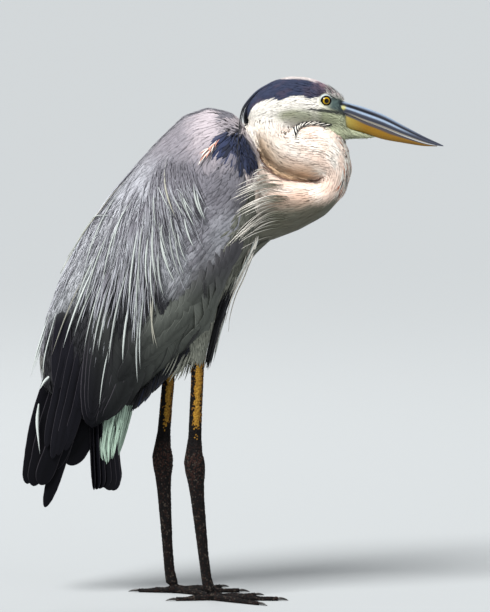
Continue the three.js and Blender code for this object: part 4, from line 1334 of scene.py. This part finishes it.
def shoulder_marks(side, sign):
    """The rufous and white dash behind the black patch, and the dark line down the front of the wing."""
    count, stations = 15, 8
    place = np.linspace(0, 1, count)[:, None]
    start = np.array([-16, 562]) + place * [-15, -15] + rng.normal(0, 1.6, (count, 2))
    end = start + [-9, -10] + rng.normal(0, 2.2, (count, 2))
    curves = bowed(start, (start + end) / 2 + [-2, 1], end, stations)
    paths, normals = draped(curves, sign, rng.uniform(2.4, 3.2, (count, 1)) + np.linspace(-1, 1, stations))
    tone = np.where(rng.random((count, 1)) < 0.5, TONES["salmon"], TONES["white"])
    strands(f"shoulder_dash_{side}", paths, normals, rng.uniform(1.1, 2.0, count), tone * 0.85, tone,
            thickness=0.3)
    line = [[-38, 411], [-36, 385], [-37, 361], [-44, 331], [-62, 303]]
    curves = np.stack([
        spline(np.add(line, [shift, 0]), np.linspace(0.3 * k, 4, 22))
        for k, shift in enumerate((0.0, 1.6, 2.8))
    ])
    paths, normals = draped(curves, sign, np.full(curves.shape[:2], 4.0))
    strands(f"wing_front_line_{side}", paths, normals, [1.3, 0.9, 0.8], TONES["covert"] * 0.6, TONES["dark"],
            thickness=0.4, outline=(0.4, 1, 1, 1, 0.9, 0.2))


FLANK_ROOTS = [[-42, 332], [-60, 309], [-82, 284], [-102, 265], [-114, 256]]
FLANK_TIPS = [[-52, 306], [-71, 283], [-91, 262], [-112, 240], [-124, 230]]


def flank(side, sign):
    """Black feathers that show below the edge of the folded wing."""
    count, stations = 130, 9
    place = np.sort(rng.uniform(0, 4, count))
    roots = spline(FLANK_ROOTS, place) + rng.normal(0, 1.5, (count, 2))
    tips = spline(FLANK_TIPS, place) + rng.normal(0, 0.9, (count, 2))
    curves = bowed(roots, (roots + tips) / 2 + [2, -3], tips, stations)
    aside = np.interp(place, [0, 2, 4], [43, 33, 20])[:, None] + rng.uniform(-6, 0, (count, 1))
    aside = aside + np.linspace(0, -2.5, stations)
    tone = np.where(rng.random((count, 1)) < 0.85, TONES["black"], TONES["navy"] * 0.7)
    strands(f"flank_feathers_{side}", in_space(curves, sign * aside), [0.3, sign, -0.4],
            rng.uniform(3.5, 6.0, count), tone * 0.8, tone, outline=(0.5, 1, 1, 0.9, 0.6, 0.08))


def belly_band(side, sign):
    """The black stripe down the belly in front of the thigh, with a few pale strands in it."""
    line = [[2, 392], [-6, 372], [-13, 352], [-21, 326], [-27, 300], [-32, 280]]
    count, stations = 90, 12
    begin = rng.uniform(0.6, 2.8, count)
    finish = np.minimum(begin + rng.uniform(1.5, 2.6, count), 5 - rng.uniform(0, 0.5, count))
    curves = np.stack([spline(line, np.linspace(a, b, stations)) for a, b in zip(begin, finish)])
    curves = curves + rng.normal(0, 1, (count, 1, 2)) * [1.7, 1.0]
    aside = rng.uniform(10, 27, (count, 1)) + np.linspace(0, 1.5, stations)
    tone = np.where(rng.random((count, 1)) < 0.08, TONES["plume"], TONES["black"])
    strands(f"belly_band_{side}", in_space(curves, sign * aside), [0.5, sign, 0.0],
            rng.uniform(1.8, 3.0, count), TONES["black"], tone, outline=(0.3, 1, 1, 0.9, 0.6, 0.06))


CREST = [  # x, z and distance from the middle plane, down from the crown
    [48, 630.5, 1.5], [30, 619.5, 2], [16, 604, 3], [10.5, 592, 10], [8, 574, 27], [6, 546, 49],
    [2.5, 517, 59.5],
]
# The black line down the nape: x and z.
NAPE = [[48, 630.5], [30, 619.5], [18, 604.5], [12.8, 592], [13.6, 580], [17, 569]]


def crest(side, sign):
    """The two black plumes that hang from the nape over the shoulder, and the short ones at their roots."""
    lines = [
        [[x, sign * (aside + 3.6 * min(k, 1.6)), z] for k, (x, z, aside) in enumerate(CREST)],
        [[x + 2.2, sign * (aside + 2.8), z + 1] for x, z, aside in CREST[:5]] + [[10.5, sign * 43, 556]],
    ]
    paths = np.stack([spline(line, np.linspace(0, len(line) - 1, 26)) for line in lines])
    over, _ = draped(paths[..., [0, 2]], sign, np.full(paths.shape[:2], 4.0))
    low = ramp(590, 566, paths[..., 2])
    paths[..., 1] = sign * np.maximum(np.abs(paths[..., 1]), np.abs(over[..., 1]) * low)
    count, stations = 44, 12
    start = rng.uniform(0, 3.2, count)
    nape = np.stack([
        spline(NAPE, np.linspace(a, min(a + rng.uniform(1.2, 2.0), len(NAPE) - 1), stations)) for a in start
    ])
    nape = nape + rng.uniform([0.3, -1.5], [4.5, 1.5], (count, 1, 2))
    aside = np.abs(rng.normal(0, 2.6, (count, 1))) + np.linspace(0, 0.8, stations)
    nape[..., 0] += 0.25 * aside
    # Nape and crest plumes start in the crown tone, black with a painted blue sheen.
    strands(f"nape_plumes_{side}", in_space(nape, sign * aside), [-0.6, 0.5 * sign, 0.5],
            rng.uniform(1.4, 2.2, count), TONES["crown"], TONES["black"],
            outline=(0.4, 1, 1, 0.9, 0.6, 0.1))
    strands(f"crest_plumes_{side}", paths, [0.25, sign, 0.2], [1.9, 1.3], TONES["crown"], TONES["black"],
            outline=(0.9, 1.0, 0.95, 0.85, 0.6, 0.1), replaced=[f"crest_{side}"])


def bundle(name, rows, count, span, reach, width, tones, replaced=()):
    """Loose plumes in the round between rows of sections: front x and z, back x and z, and half the width."""
    stations = 12
    start = rng.uniform(*span, count)
    end = np.minimum(start + rng.uniform(*reach, count), len(rows) - 1 - rng.uniform(0, 0.5, count))
    turn, out = rng.uniform(0, 2 * math.pi, count), rng.uniform(0.35, 1, count) ** 0.5
    t = np.linspace(0, 1, stations)
    row = spline(rows, start[:, None] + (end - start)[:, None] * t)
    turn = turn[:, None] + rng.normal(0, 0.15, (count, 1)) * t
    across, front = np.sin(turn) * out[:, None], np.cos(turn) * out[:, None]
    middle = (row[..., :2] + row[..., 2:4]) / 2
    ahead = (row[..., :2] - row[..., 2:4]) / 2
    xz = middle + ahead * front[..., None]
    paths = in_space(xz, row[..., 4] * across)
    outward = in_space(ahead * front[..., None], row[..., 4] * across * 0.6)
    tone = tones(front[:, -1], rng.random(count))
    strands(name, paths, unit(outward + [0.01, 0, 0]), rng.uniform(*width, count), tone * 0.85, tone,
            thickness=0.3, outline=(0.6, 1, 0.9, 0.7, 0.4, 0.06), replaced=replaced, smoothly=True)


BREAST = [  # the plumes over the breast
    [50, 441, 30, 436, 24], [33, 427, 12, 422, 22], [18.5, 408, -1, 402, 19],
    [5, 383, -14, 379, 12], [-6, 360, -18, 356, 6], [-15, 335, -20, 333, 2],
]
VENT = [  # the long soft feathers under the tail
    [-116, 262, -142, 268, 15], [-119, 250, -156, 244, 19], [-123, 226, -163, 212, 21],
    [-131, 196, -165, 184, 21.5], [-138, 176, -162, 168, 20], [-142, 164, -160, 162, 16],
]


def breast_tones(front, chance):
    """Paler towards the front, with a black plume here and there."""
    pale = (ramp(0.3, 0.95, front) * 0.45 + 0.35 * chance)[:, None]
    # The darker tone is the olive grey that is painted shade under the neck.
    tone = TONES["under"] * (1 - pale) + TONES["plume"] * pale
    return np.where((chance > 0.9)[:, None], TONES["black"], tone)


def vent_tones(_, chance):
    """Greenish white, a little uneven."""
    return TONES["vent"] * (0.93 + 0.07 * chance[:, None])


def breast_lines():
    """Single white plumes that hang free along the front of the breast, four on each side."""
    stations = 20
    free = np.array([
        [[40, 443], [25, 419], [14, 392], [4, 370], [-3, 345], [-5, 327]],
        [[36, 441], [21, 418], [10.5, 392], [0, 370], [-6, 350], [-9, 338]],
        [[35, 441], [20, 417], [9, 391], [-2, 368], [-12, 340], [-19, 312]],
        [[34, 441], [18, 416], [7, 390], [-4, 366], [-14, 334], [-22, 300]],
    ], float)
    paths = []
    for sign in (-1, 1):
        for line, aside in zip(free, (9, 12, 14, 11)):
            curve = spline(line, np.linspace(0, 5, stations))
            out = np.linspace(aside + 6, aside, stations) * sign
            paths.append(np.column_stack([curve[:, 0], out, curve[:, 1]]))
    paths = np.stack(paths)
    normals = unit(paths * [0, 1, 0] + [12.0, 0, 0])
    strands("breast_lines", paths, normals, [1.3, 1.1, 1.5, 1.3] * 2, TONES["plume"] * 0.9, TONES["white"],
            outline=(0.3, 0.9, 1, 0.9, 0.6, 0.06))


def breast_fringe(side, sign):
    """The sheaf of white and dark plumes that runs down the edge of the breast and over the belly stripe."""
    line = [
        [31, 447], [26, 438], [15.5, 418], [4.5, 396], [-3, 379], [-10.5, 361], [-20, 345], [-26, 326],
        [-30, 303],
    ]
    count, stations = 64, 16
    begin = rng.uniform(0, 2.6, count)
    finish = begin + rng.uniform(2.2, 4.0, count)
    curves = np.stack([spline(line, np.linspace(a, min(b, 8), stations)) for a, b in zip(begin, finish)])
    across = rng.uniform(-1, 1, count)
    taper = np.interp(np.linspace(begin, finish, stations).T, [0, 2, 5, 8], [3.2, 2.8, 1.6, 0.8])
    curves = curves + across[:, None, None] * taper[..., None] * [0.9, 0.35]
    out_of_coat = np.interp(np.linspace(0, 1, stations), [0, 0.3, 1], [-4, 0, 0.5])
    paths, _ = draped(curves, sign, rng.uniform(3.4, 5.2, (count, 1)) + out_of_coat)
    chance = rng.random((count, 1))
    tone = np.where(chance < 0.82, TONES["white"], np.where(chance < 0.88, TONES["plume"], TONES["navy"]))
    # Towards the tips the plumes go a fifth lighter than their tone, which is painted light, as though the
    # sun fell on this edge of the breast.
    strands(f"breast_fringe_{side}", paths, unit(np.array([0.1, sign, 0.35])), rng.uniform(1.4, 2.5, count),
            tone, tone * 1.2, thickness=0.35, outline=(0.3, 0.9, 1, 0.9, 0.6, 0.06))


def thigh_fringe(side, sign):
    """Loose feather ends over the top of the bare leg and along the belly behind it."""
    count, stations = 70, 9
    place = rng.uniform(0.35, 1.5, count)
    roots = np.column_stack([-34 - 22 * place - set_back(290, sign), 312 - 8 * place])
    roots = roots + rng.normal(0, 2.5, (count, 2))
    tips = roots + np.column_stack([-2 - 9 * place, -rng.uniform(14, 34, count)])
    curves = bowed(roots, (roots + tips) / 2 + [1, -2], tips, stations)
    turn = rng.uniform(-1, 1, count)[:, None]
    aside = LEG_SPREAD + turn * np.linspace(11, 7.5, stations)
    tone = np.where(rng.random((count, 1)) < 0.5, TONES["thigh"], TONES["belly"])
    tone = tone * rng.uniform(0.85, 1.1, (count, 1))
    strands(f"thigh_fringe_{side}", in_space(curves, sign * aside), [0.1, sign, 0.1],
            rng.uniform(1.4, 2.4, count), tone * 0.9, tone)


for side, sign in SIDES.items():
    flight_feathers(side, sign)
    primaries(side, sign)
    crest(side, sign)
    back_plumes(side, sign)
    neck_wisps(side, sign)
    cheek_streak(side, sign)
    shoulder_marks(side, sign)
    flank(side, sign)
    belly_band(side, sign)
    breast_fringe(side, sign)
    thigh_fringe(side, sign)
tail()
bundle("breast_plume_bundle", BREAST, 420, (0, 1.6), (1.6, 3.6), (2.0, 3.4), breast_tones,
       ["breast_plumes"])
bundle("undertail_coverts", VENT, 620, (0, 2.8), (1.2, 2.6), (2.8, 4.4), vent_tones)
breast_lines()


# ---------------------------------------------------------------- bill, eyes and lids
UPPER_BILL = [  # upper edge, lower edge and half the width
    [122, 612, 118, 594, 9.3], [126, 611, 122, 594, 9.5], [141, 605.5, 138, 592.6, 9],
    [160, 600.2, 158, 584.4, 7.2], [184, 591, 182, 575.8, 5.8], [208, 578, 207, 566.2, 4.4],
    [232, 565.2, 231, 558, 2.8], [249, 557.2, 249, 553.6, 1.3], [256.6, 553.6, 256.6, 552.6, 0.4],
]
LOWER_BILL = [
    [122, 594.5, 120, 574, 8.4], [126, 594.5, 126, 574, 8.6], [140, 591.4, 139, 573.2, 8],
    [160, 583.2, 158, 569.2, 6.4], [184, 574.4, 182, 561.4, 5], [208, 564.8, 207, 556.8, 3.6],
    [231, 556.8, 230, 553.2, 2.2], [244, 554.0, 244, 552.5, 1.2], [249, 553.5, 249, 552.5, 0.5],
]
# Half of each mandible's section, from the top round one side: shares of the half width and the half depth.
UPPER_SECTION = [
    [0, 1], [0.22, 0.95], [0.42, 0.78], [0.56, 0.5], [0.6, 0.3], [0.74, 0.12], [0.9, -0.3], [1, -0.78],
    [0.94, -0.98], [0.5, -0.94], [0, -0.9],
]
LOWER_SECTION = [
    [0, 0.9], [0.5, 0.94], [0.95, 1], [1, 0.7], [0.94, 0.2], [0.78, -0.4], [0.45, -0.86], [0, -1],
]
NOSTRIL = [[141, 603], [147, 600.6], [152, 598.8]]
GROOVE = [[141, 603.4], [160, 594.6], [178, 588]]


def grid_faces(rows, columns, closed_rows=False):
    """Triangles between rings of points, and from the last ring back to the first if the rows close."""
    faces = []
    for r in range(rows if closed_rows else rows - 1):
        a = r * columns + np.arange(columns)
        b = r * columns + (np.arange(columns) + 1) % columns
        step = columns if r < rows - 1 else -r * columns
        faces += [*np.column_stack([a, a + step, b]), *np.column_stack([b, a + step, b + step])]
    return np.array(faces)


def capped_faces(rows, columns):
    """Triangles of a closed tube: its rings, and a fan at each end round the last two points."""
    faces = grid_faces(rows, columns).tolist()
    first, last, end = rows * columns, rows * columns + 1, (rows - 1) * columns
    for i in range(columns):
        j = (i + 1) % columns
        faces += [[first, i, j], [last, end + j, end + i]]
    return np.array(faces)


def mandible(rows, section, stations, around):
    """Points, faces, and for each point its shares across and up, of one half of the bill."""
    row = spline(rows, np.linspace(0, len(rows) - 1, stations))
    half = spline(section, np.linspace(0, len(section) - 1, around // 2 + 1))
    ring = np.vstack([half, half[-2:0:-1] * [-1, 1]])
    centre_line = (row[:, :2] + row[:, 2:4]) / 2
    up = (row[:, :2] - row[:, 2:4]) / 2
    xz = centre_line[:, None] + up[:, None] * ring[None, :, 1:]
    ends = in_space(centre_line[[0, -1]], np.zeros(2))
    points = np.vstack([in_space(xz, row[:, 4:] * ring[None, :, 0]).reshape(-1, 3), ends])
    shares = np.vstack([np.tile(ring, (stations, 1)), np.zeros((2, 2))])
    return points, capped_faces(stations, len(ring)), shares


def outward_faces(points, faces):
    """The same faces, turned so that a closed mesh encloses a positive volume."""
    a, b, c = (points[faces[:, i]] for i in range(3))
    volume = (a * np.cross(b, c)).sum()
    return faces if volume > 0 else faces[:, ::-1]


BILL_BASE, BILL_LENGTH = 126, 130


def bill():
    """Both mandibles in horn: the upper with a painted pale blue highlight above and dark along the groove,
    the lower ochre.
    """
    points, faces, share = mandible(UPPER_BILL, UPPER_SECTION, 110, 48)
    x, y, z = points.T
    away, place = from_line(x, z, GROOVE)
    dip = (1 - ramp(0.3, 1.6, away)) * ramp(1.5, 3.0, np.abs(y)) * (1 - ramp(0.75, 1, place))
    points[:, 1] -= np.sign(y) * dip * 0.9
    up = share[:, 1]
    run = (x - BILL_BASE) / BILL_LENGTH
    band = ramp(0.28, 0.1, up) * ramp(-0.25, -0.02, up)
    cutting_edge = ramp(-0.72, -0.86, up) * ramp(0.05, 0.2, run) * (1 - ramp(0.75, 0.95, run))
    spot = 1 - ramp(1.5, 5.5, np.hypot(x - 134, (z - 600) * 1.5))
    away, _ = from_line(x, z, NOSTRIL)
    colour = layered(
        "horn", points,
        # Painted highlight: pale blue along the ridge towards the base, and in a line on each side below the
        # groove.
        ("horn_glint", 0.75 * ramp(0.62, 0.95, up) * (1 - ramp(0.45, 0.9, run))),
        ("horn_glint", 0.8 * band * (1 - ramp(0.5, 0.8, run))),
        ("horn_dark", 0.9 * ramp(0.62, 0.5, up) * ramp(0.22, 0.34, up)),
        ("horn_dark", 0.5 * ramp(-0.2, -0.35, up) * ramp(-0.8, -0.6, up)),
        ("horn_edge", 0.75 * cutting_edge),
        ("horn_green", 0.75 * spot * ramp(2.5, 5, np.abs(y))),
        ("horn_dark", (1 - ramp(0.5, 1.3, away)) * ramp(2, 3.5, np.abs(y))),
    )
    make("bill_upper_horn", points, outward_faces(points, faces), horn_finish, colour,
         ["bill_upper"])
    points, faces, share = mandible(LOWER_BILL, LOWER_SECTION, 90, 40)
    up = share[:, 1]
    run = (points[:, 0] - BILL_BASE) / BILL_LENGTH
    edge = np.interp(run, [0, 0.25, 0.5, 0.9], [0.85, 0.6, 0.42, 0.5])
    colour = layered(
        "ochre", points,
        ("ochre_deep", 0.7 * ramp(0.3, 0.9, run) * ramp(0.6, -0.2, up)),
        ("horn", 0.9 * ramp(-0.05, 0.08, up - edge)),
        ("horn_green", 0.55 * ramp(0.3, 0.02, run) * ramp(0.9, 0.6, up)),
        ("chin", 0.7 * ramp(0.14, 0.0, run) * ramp(0.9, 0.5, up)),
        ("horn", ramp(0.9, 1.0, run) * 0.6),
    )
    make("bill_lower_horn", points, outward_faces(points, faces), horn_finish, colour,
         ["bill_lower"])


IRIS, PUPIL = math.radians(37), math.radians(22)  # where each ends, as seen from the eye's middle


def turned(points, axis):
    """Points whose own axis is +Z, turned so that it lies along `axis`."""
    turn = np.array(Vector(axis).to_track_quat("Z", "Y").to_matrix())
    return points @ turn.T


def circle(around):
    """Angles of points evenly round a ring."""
    return np.arange(around) / around * 2 * math.pi


def revolved(angles, radii, around, squash=0.0):
    """A surface turned about +Z through rings at angles from it. `squash` makes the inner rings oval."""
    turn = circle(around)
    rings = []
    for angle, r in zip(angles, radii):
        a = angle + squash * np.cos(2 * turn) * (angle < 1.2)
        out = r * np.sin(a)
        rings.append(np.column_stack([out * np.cos(turn), out * np.sin(turn), r * np.cos(a)]))
    return np.vstack(rings)


def eye(side, sign):
    """An eyeball with a bulging cornea, a yellow iris and a round pupil, and the ring of lids round it."""
    low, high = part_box(f"eye_{side}")
    middle = np.array((low + high) / 2) / MM
    gaze = unit(np.array([0.24, 0.97 * sign, 0.03]))
    around = 48
    angles = np.radians(np.concatenate([np.linspace(0.5, 60, 40), np.linspace(64, 179.5, 24)]))
    radii = EYE_RADIUS - 0.25 + 0.55 * np.cos(np.clip(angles / IRIS, 0, 1) * math.pi / 2) ** 2
    points = np.vstack([revolved(angles, radii, around), [[0, 0, radii[0]], [0, 0, -radii[-1]]]])
    angle = np.append(np.repeat(angles, around), [0, math.pi])
    turn = np.append(np.tile(circle(around), len(angles)), [0, 0])
    rays = 0.5 + 0.5 * np.sin(turn * 23 + 3 * np.sin(turn * 7))
    colour = layered(
        "iris", points,
        ("iris_deep", 0.55 * rays * ramp(IRIS * 0.5, IRIS, angle)),
        ("iris_deep", 0.6 * (1 - ramp(PUPIL, PUPIL * 1.35, angle))),
        ("pupil", 1 - ramp(PUPIL * 0.93, PUPIL * 1.05, angle)),
        ("pupil", ramp(IRIS * 0.95, IRIS * 1.04, angle)),
    )
    points = turned(points, gaze) + middle
    faces = outward_faces(points - middle, capped_faces(len(angles), around))
    make(f"eyeball_{side}", points, faces, eye_finish, colour, [f"eye_{side}"])
    # The lids: a rolled rim that lies on the eyeball and flares out over the bare skin round it.
    stations = np.radians([95, 78, 66, 59, 55.5, 53.5, 54, 57, 62, 68, 76, 88, 104])
    radii = np.array([6.3, 6.5, 6.7, 6.85, 7.0, 7.45, 7.85, 8.2, 8.5, 8.6, 8.35, 7.7, 6.4])
    share = np.repeat(np.linspace(0, 1, len(stations)), around)
    points = turned(revolved(stations, radii, around, squash=0.06), gaze)
    folds = np.sin(np.tile(np.arange(around), len(stations)) * 2 * math.pi / around * 14)
    wrinkle = 0.12 * folds * ramp(0.55, 0.75, share)
    points = points * (1 + wrinkle / 8)[:, None] + middle
    faces = outward_faces(points - middle, grid_faces(len(stations), around, closed_rows=True))
    # Painted highlight: the lids stay pale towards the top and back and go lore grey elsewhere.
    toward_highlight = unit(points - middle) @ unit(np.array([-0.5, 0, 0.85]))
    colour = layered(
        "lid", points,
        ("lore", 0.9 * (1 - ramp(-0.35, 0.25, toward_highlight))),
        ("pupil", 1 - ramp(0.52, 0.6, share)),
    )
    make(f"lids_{side}", points, faces, lid_finish, colour)


# ---------------------------------------------------------------- legs, feet and claws
LEG_AXIS = np.array([  # the middle of the right leg, from the toes up: x and z
    [-27.5, 8], [-33, 35], [-37, 70], [-41, 110], [-44, 140], [-46.5, 165], [-46, 190], [-45, 220],
    [-43, 260], [-42, 290],
])
HUB = [-27.5, 6]  # where the toes meet: x and z


def leg_tone(p, chance, sign):
    """Leg skin: ochre above the heel, with dark scales down the back, and blackish brown with pale flecks
    below."""
    x, y, z = p.T
    ahead = (x + set_back(z, sign) - np.interp(z, LEG_AXIS[:, 1], LEG_AXIS[:, 0])) / 6.5
    outside = (np.abs(y) - LEG_SPREAD) / 6
    rear = ramp(0.0, -0.6, ahead) if sign > 0 else ramp(-0.35, -0.85, ahead - 0.2 * outside)
    dark = ramp(224, 192, z) + 0.85 * rear + 0.4 * ramp(0.55, 1.0, ahead)
    # Darker at random scales, which is the leg's own mottling, and towards the front and back edges of the
    # shank, which is painted shade on its round sides.
    deep = 0.5 * (chance > 0.6) + 0.7 * ramp(0.25, 0.9, np.abs(ahead))
    colour = layered("shank_front", p, ("shank_deep", deep))
    colour = np.where((chance < dark)[:, None], TONES["tarsus"], colour)
    low = ramp(200, 175, z)
    colour = blend(colour, "scale_pale", low * (chance > 0.88) * 0.7)
    heel = 1 - ramp(14, 34, np.abs(z - 172))
    warm = (chance > 0.66 - 0.3 * heel) & (chance < 0.88)
    return blend(colour, "scale_warm", low * warm * (0.5 + 0.4 * heel))


def scute_tree():
    """Sets a low six-sided plate on every point, facing and lying as its attributes say."""
    tree = bpy.data.node_groups.new("leg_scutes", "GeometryNodeTree")
    inputs = {"Geometry": "Geometry", "Corners": "Int", "Top Share": "Float", "Finish": "Material"}
    for name, kind in inputs.items():
        tree.interface.new_socket(name, in_out="INPUT", socket_type=f"NodeSocket{kind}")
    tree.interface.new_socket("Geometry", in_out="OUTPUT", socket_type="NodeSocketGeometry")
    given = node(tree, "NodeGroupInput")
    facing, lying, size = (
        node(tree, "GeometryNodeInputNamedAttribute", {"Name": key}, data_type="FLOAT_VECTOR").outputs[0]
        for key in ("facing", "lying", "size")
    )
    plate = node(tree, "GeometryNodeMeshCone", {
        "Vertices": given.outputs["Corners"], "Radius Top": given.outputs["Top Share"],
        "Radius Bottom": 1.0, "Depth": 1.0,
    })
    up = node(tree, "FunctionNodeAlignRotationToVector", {"Vector": facing}, axis="Z")
    turn = node(tree, "FunctionNodeAlignRotationToVector", {"Rotation": up.outputs[0], "Vector": lying},
                axis="X", pivot_axis="Z")
    placed = node(tree, "GeometryNodeInstanceOnPoints", {
        "Points": given.outputs["Geometry"], "Instance": plate.outputs["Mesh"], "Rotation": turn.outputs[0],
        "Scale": size,
    })
    real = node(tree, "GeometryNodeRealizeInstances", {"Geometry": placed.outputs[0]})
    coated = node(tree, "GeometryNodeSetMaterial", {
        "Geometry": real.outputs[0], "Material": given.outputs["Finish"],
    })
    node(tree, "NodeGroupOutput", {"Geometry": coated.outputs[0]})
    return tree


def scutes(name, tree, surface, roots, faces, shares, facing, lying, size, colours):
    """Realized plates at roots on a leg, with their colours and their places in the bake map."""
    bed = bpy.data.meshes.new(name)
    bed.from_pydata((roots * MM).tolist(), [], [])
    for key, values in (("facing", facing), ("lying", lying), ("size", size * MM)):
        bed.attributes.new(key, "FLOAT_VECTOR", "POINT").data.foreach_set("vector", values.ravel())
    obj = added(name, bed)
    plates = obj.modifiers.new("plates", "NODES")
    plates.node_group = tree
    settings = {"Corners": 6, "Top Share": 0.6, "Finish": scale_finish}
    for item in tree.interface.items_tree:
        if item.in_out == "INPUT" and item.name in settings:
            plates[item.identifier] = settings[item.name]
    made = settled(obj)
    points, triangles = points_of(made), triangles_of(made)
    bpy.data.meshes.remove(made)
    each = len(points) // len(roots)
    number = np.repeat(np.arange(len(roots)), each)
    from_root = points - roots[number]
    ahead = lying[number]
    beside = np.cross(facing, lying)[number]
    inside = np.column_stack([(from_root * ahead).sum(axis=1), (from_root * beside).sum(axis=1)])
    inside /= 2.2 * size[number].max(axis=1, keepdims=True)
    bake = bake_places(faces, shares, surface)[number] + inside * BAKE_PATCH
    height = (from_root * facing[number]).sum(axis=1)
    # Each plate is painted darker low on its sides, where it meets the skin, and a little lighter on its top:
    # painted shade between the plates.
    tone = 0.72 + 0.36 * ramp(0.0, 0.3, height)
    colours = np.clip(colours[number] * tone[:, None], 0, 1)
    make(name, points, triangles, scale_finish, colours, bake=bake, smooth=False)


def upper_shank(sign):
    """The top of the shank, which goes up inside the feathers of the thigh."""
    turn = circle(24)
    rings = []
    for z, front, rear, wide in (
        (280, -35.4, -49.8, 6.6), (292, -33.8, -50.6, 7.6), (304, -31.8, -51.2, 8.6), (316, -31, -51, 9),
    ):
        x = (front + rear) / 2 - set_back(z, sign) + (front - rear) / 2 * np.cos(turn)
        y = sign * LEG_SPREAD + wide * np.sin(turn)
        rings.append(np.column_stack([x, y, np.full(len(turn), z)]))
    points = np.vstack(rings + [[rings[0].mean(axis=0)], [rings[-1].mean(axis=0)]])
    faces = capped_faces(len(rings), len(turn))
    return points, outward_faces(points - points.mean(axis=0), faces)


def leg(side, sign, tree):
    """One leg's skin from the thigh to the toes, and the scutes over it."""
    nodes = [f"shank_{side}", f"tarsus_{side}", f"foot_{side}"]
    points, faces, _ = fused(nodes, voxel=1.1, swell=0.3, smoothing=3, more=[upper_shank(sign)])
    points[:, 2] = np.maximum(points[:, 2], 0)
    surface = Surface(points, faces)
    between = (0.8 + 0.6 * ramp(215, 190, points[:, 2]))[:, None]
    colours = leg_tone(points, np.full(len(points), 0.3), sign) * between
    make(f"leg_skin_{side}", points, faces, scale_finish, colours, nodes)
    under = (points[faces, 2].mean(axis=1) < 1.5) & (surface.face_normals[:, 2] < -0.3)
    roots, on, shares = scattered(surface, ~under, 2.1)
    facing = surface.face_normals[on]
    low = roots[:, 2] < 15
    hub = np.array([HUB[0] - set_back(0, sign), LEG_SPREAD * sign, HUB[1]])
    away = unit((roots - hub) * [1, 1, 0])
    lying = np.where(low[:, None], away, [0.0, 0.0, -1.0])
    lying = unit(lying - (lying * facing).sum(axis=1, keepdims=True) * facing)
    count = len(roots)
    size = np.column_stack([
        rng.uniform(1.15, 1.45, count), rng.uniform(1.0, 1.25, count), rng.uniform(0.35, 0.5, count),
    ])
    colours = leg_tone(roots, rng.random(count), sign)
    scutes(f"leg_scales_{side}", tree, surface, roots, on, shares, facing, lying, size, colours)


def claws():
    """The eight claws, rounded from the solids, in dark horn."""
    points, faces, colours, start = [], [], [], 0
    names = [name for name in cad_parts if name.startswith("claw_")]
    for name in sorted(names):
        p, f = welded(name)
        mesh = bpy.data.meshes.new("claw")
        mesh.from_pydata(p.tolist(), [], f.tolist())
        obj = added("claw", mesh)
        rounding = obj.modifiers.new("round", "SUBSURF")
        rounding.levels = rounding.render_levels = 2
        made = settled(obj)
        smooth = points_of(made) * MM
        points.append(smooth)
        faces.append(triangles_of(made) + start)
        bpy.data.meshes.remove(made)
        start += len(smooth)
        reach = np.linalg.norm(smooth[:, :2] - smooth[:, :2].mean(axis=0), axis=1)
        colours.append(layered("claw", smooth, ("scale_pale", 0.25 * ramp(0, 4, reach))))
    make("claws", np.vstack(points), np.vstack(faces), claw_finish, np.vstack(colours),
         names)


bill()
plates = scute_tree()
for side, sign in SIDES.items():
    eye(side, sign)
    leg(side, sign, plates)
claws()


# ---------------------------------------------------------------- floor, light and camera
FLOOR_HALF = 60  # this and the lengths below are metres
BODY_MIDDLE = Vector((0, 0, 0.38))
LOOK_AT = Vector((0.01525, 0, 0.3576))
CAMERA_AWAY, CAMERA_UP = 6, math.radians(5)
LENS, SENSOR = 289.3, 36  # millimetres
LAMPS = (("fill", (2.2, -2.4, 1.4), 2.0, 22), ("rim", (-1.2, 2.2, 2.4), 1.6, 25))  # place, size and watts


def turned_to(obj, way, axis):
    """Turns an object so that one of its own axes points this way."""
    obj.rotation_euler = way.to_track_quat(axis, "Y").to_euler()


def stage():
    """A pale floor, a soft sun from the right, two lamps and the camera."""
    floor = bpy.data.meshes.new("floor")
    corners = [(x * FLOOR_HALF, y * FLOOR_HALF, 0) for x, y in ((-1, -1), (1, -1), (1, 1), (-1, 1))]
    floor.from_pydata(corners, [], [(0, 1, 2, 3)])
    # Floor paint: pale and without shine, so that it gives the eye nothing but the bird's own shadow.
    paint = bpy.data.materials.new("pale_matt_floor")
    paint.use_nodes = True
    shader = paint.node_tree.nodes["Principled BSDF"]
    shader.inputs["Base Color"].default_value = (*linear("#9c9fa0"), 1)
    shader.inputs["Roughness"].default_value = 0.9
    floor.materials.append(paint)
    added("floor", floor)
    world = bpy.data.worlds.new("studio")
    world.use_nodes = True
    sky = world.node_tree.nodes["Background"]
    sky.inputs["Color"].default_value = (*linear("#eef2f6"), 1)
    sky.inputs["Strength"].default_value = 0.5
    bpy.context.scene.world = world
    sun = bpy.data.lights.new("key", "SUN")
    sun.energy, sun.angle = 5.9, math.radians(26)
    turned_to(added("key", sun), Vector((-0.5, -0.6, 1.0)), "Z")
    for name, place, size, power in LAMPS:
        light = bpy.data.lights.new(name, "AREA")
        light.shape, light.size, light.energy = "DISK", size, power
        lamp = added(name, light)
        lamp.location = place
        turned_to(lamp, BODY_MIDDLE - lamp.location, "-Z")
    lens = bpy.data.cameras.new("camera")
    lens.lens, lens.sensor_width = LENS, SENSOR
    camera = added("camera", lens)
    camera.location = LOOK_AT + Vector((0, -math.cos(CAMERA_UP), math.sin(CAMERA_UP))) * CAMERA_AWAY
    turned_to(camera, LOOK_AT - camera.location, "-Z")
    bpy.context.scene.camera = camera
    bpy.context.scene.view_settings.view_transform = "Standard"


stage()
bpy.context.view_layer.update()
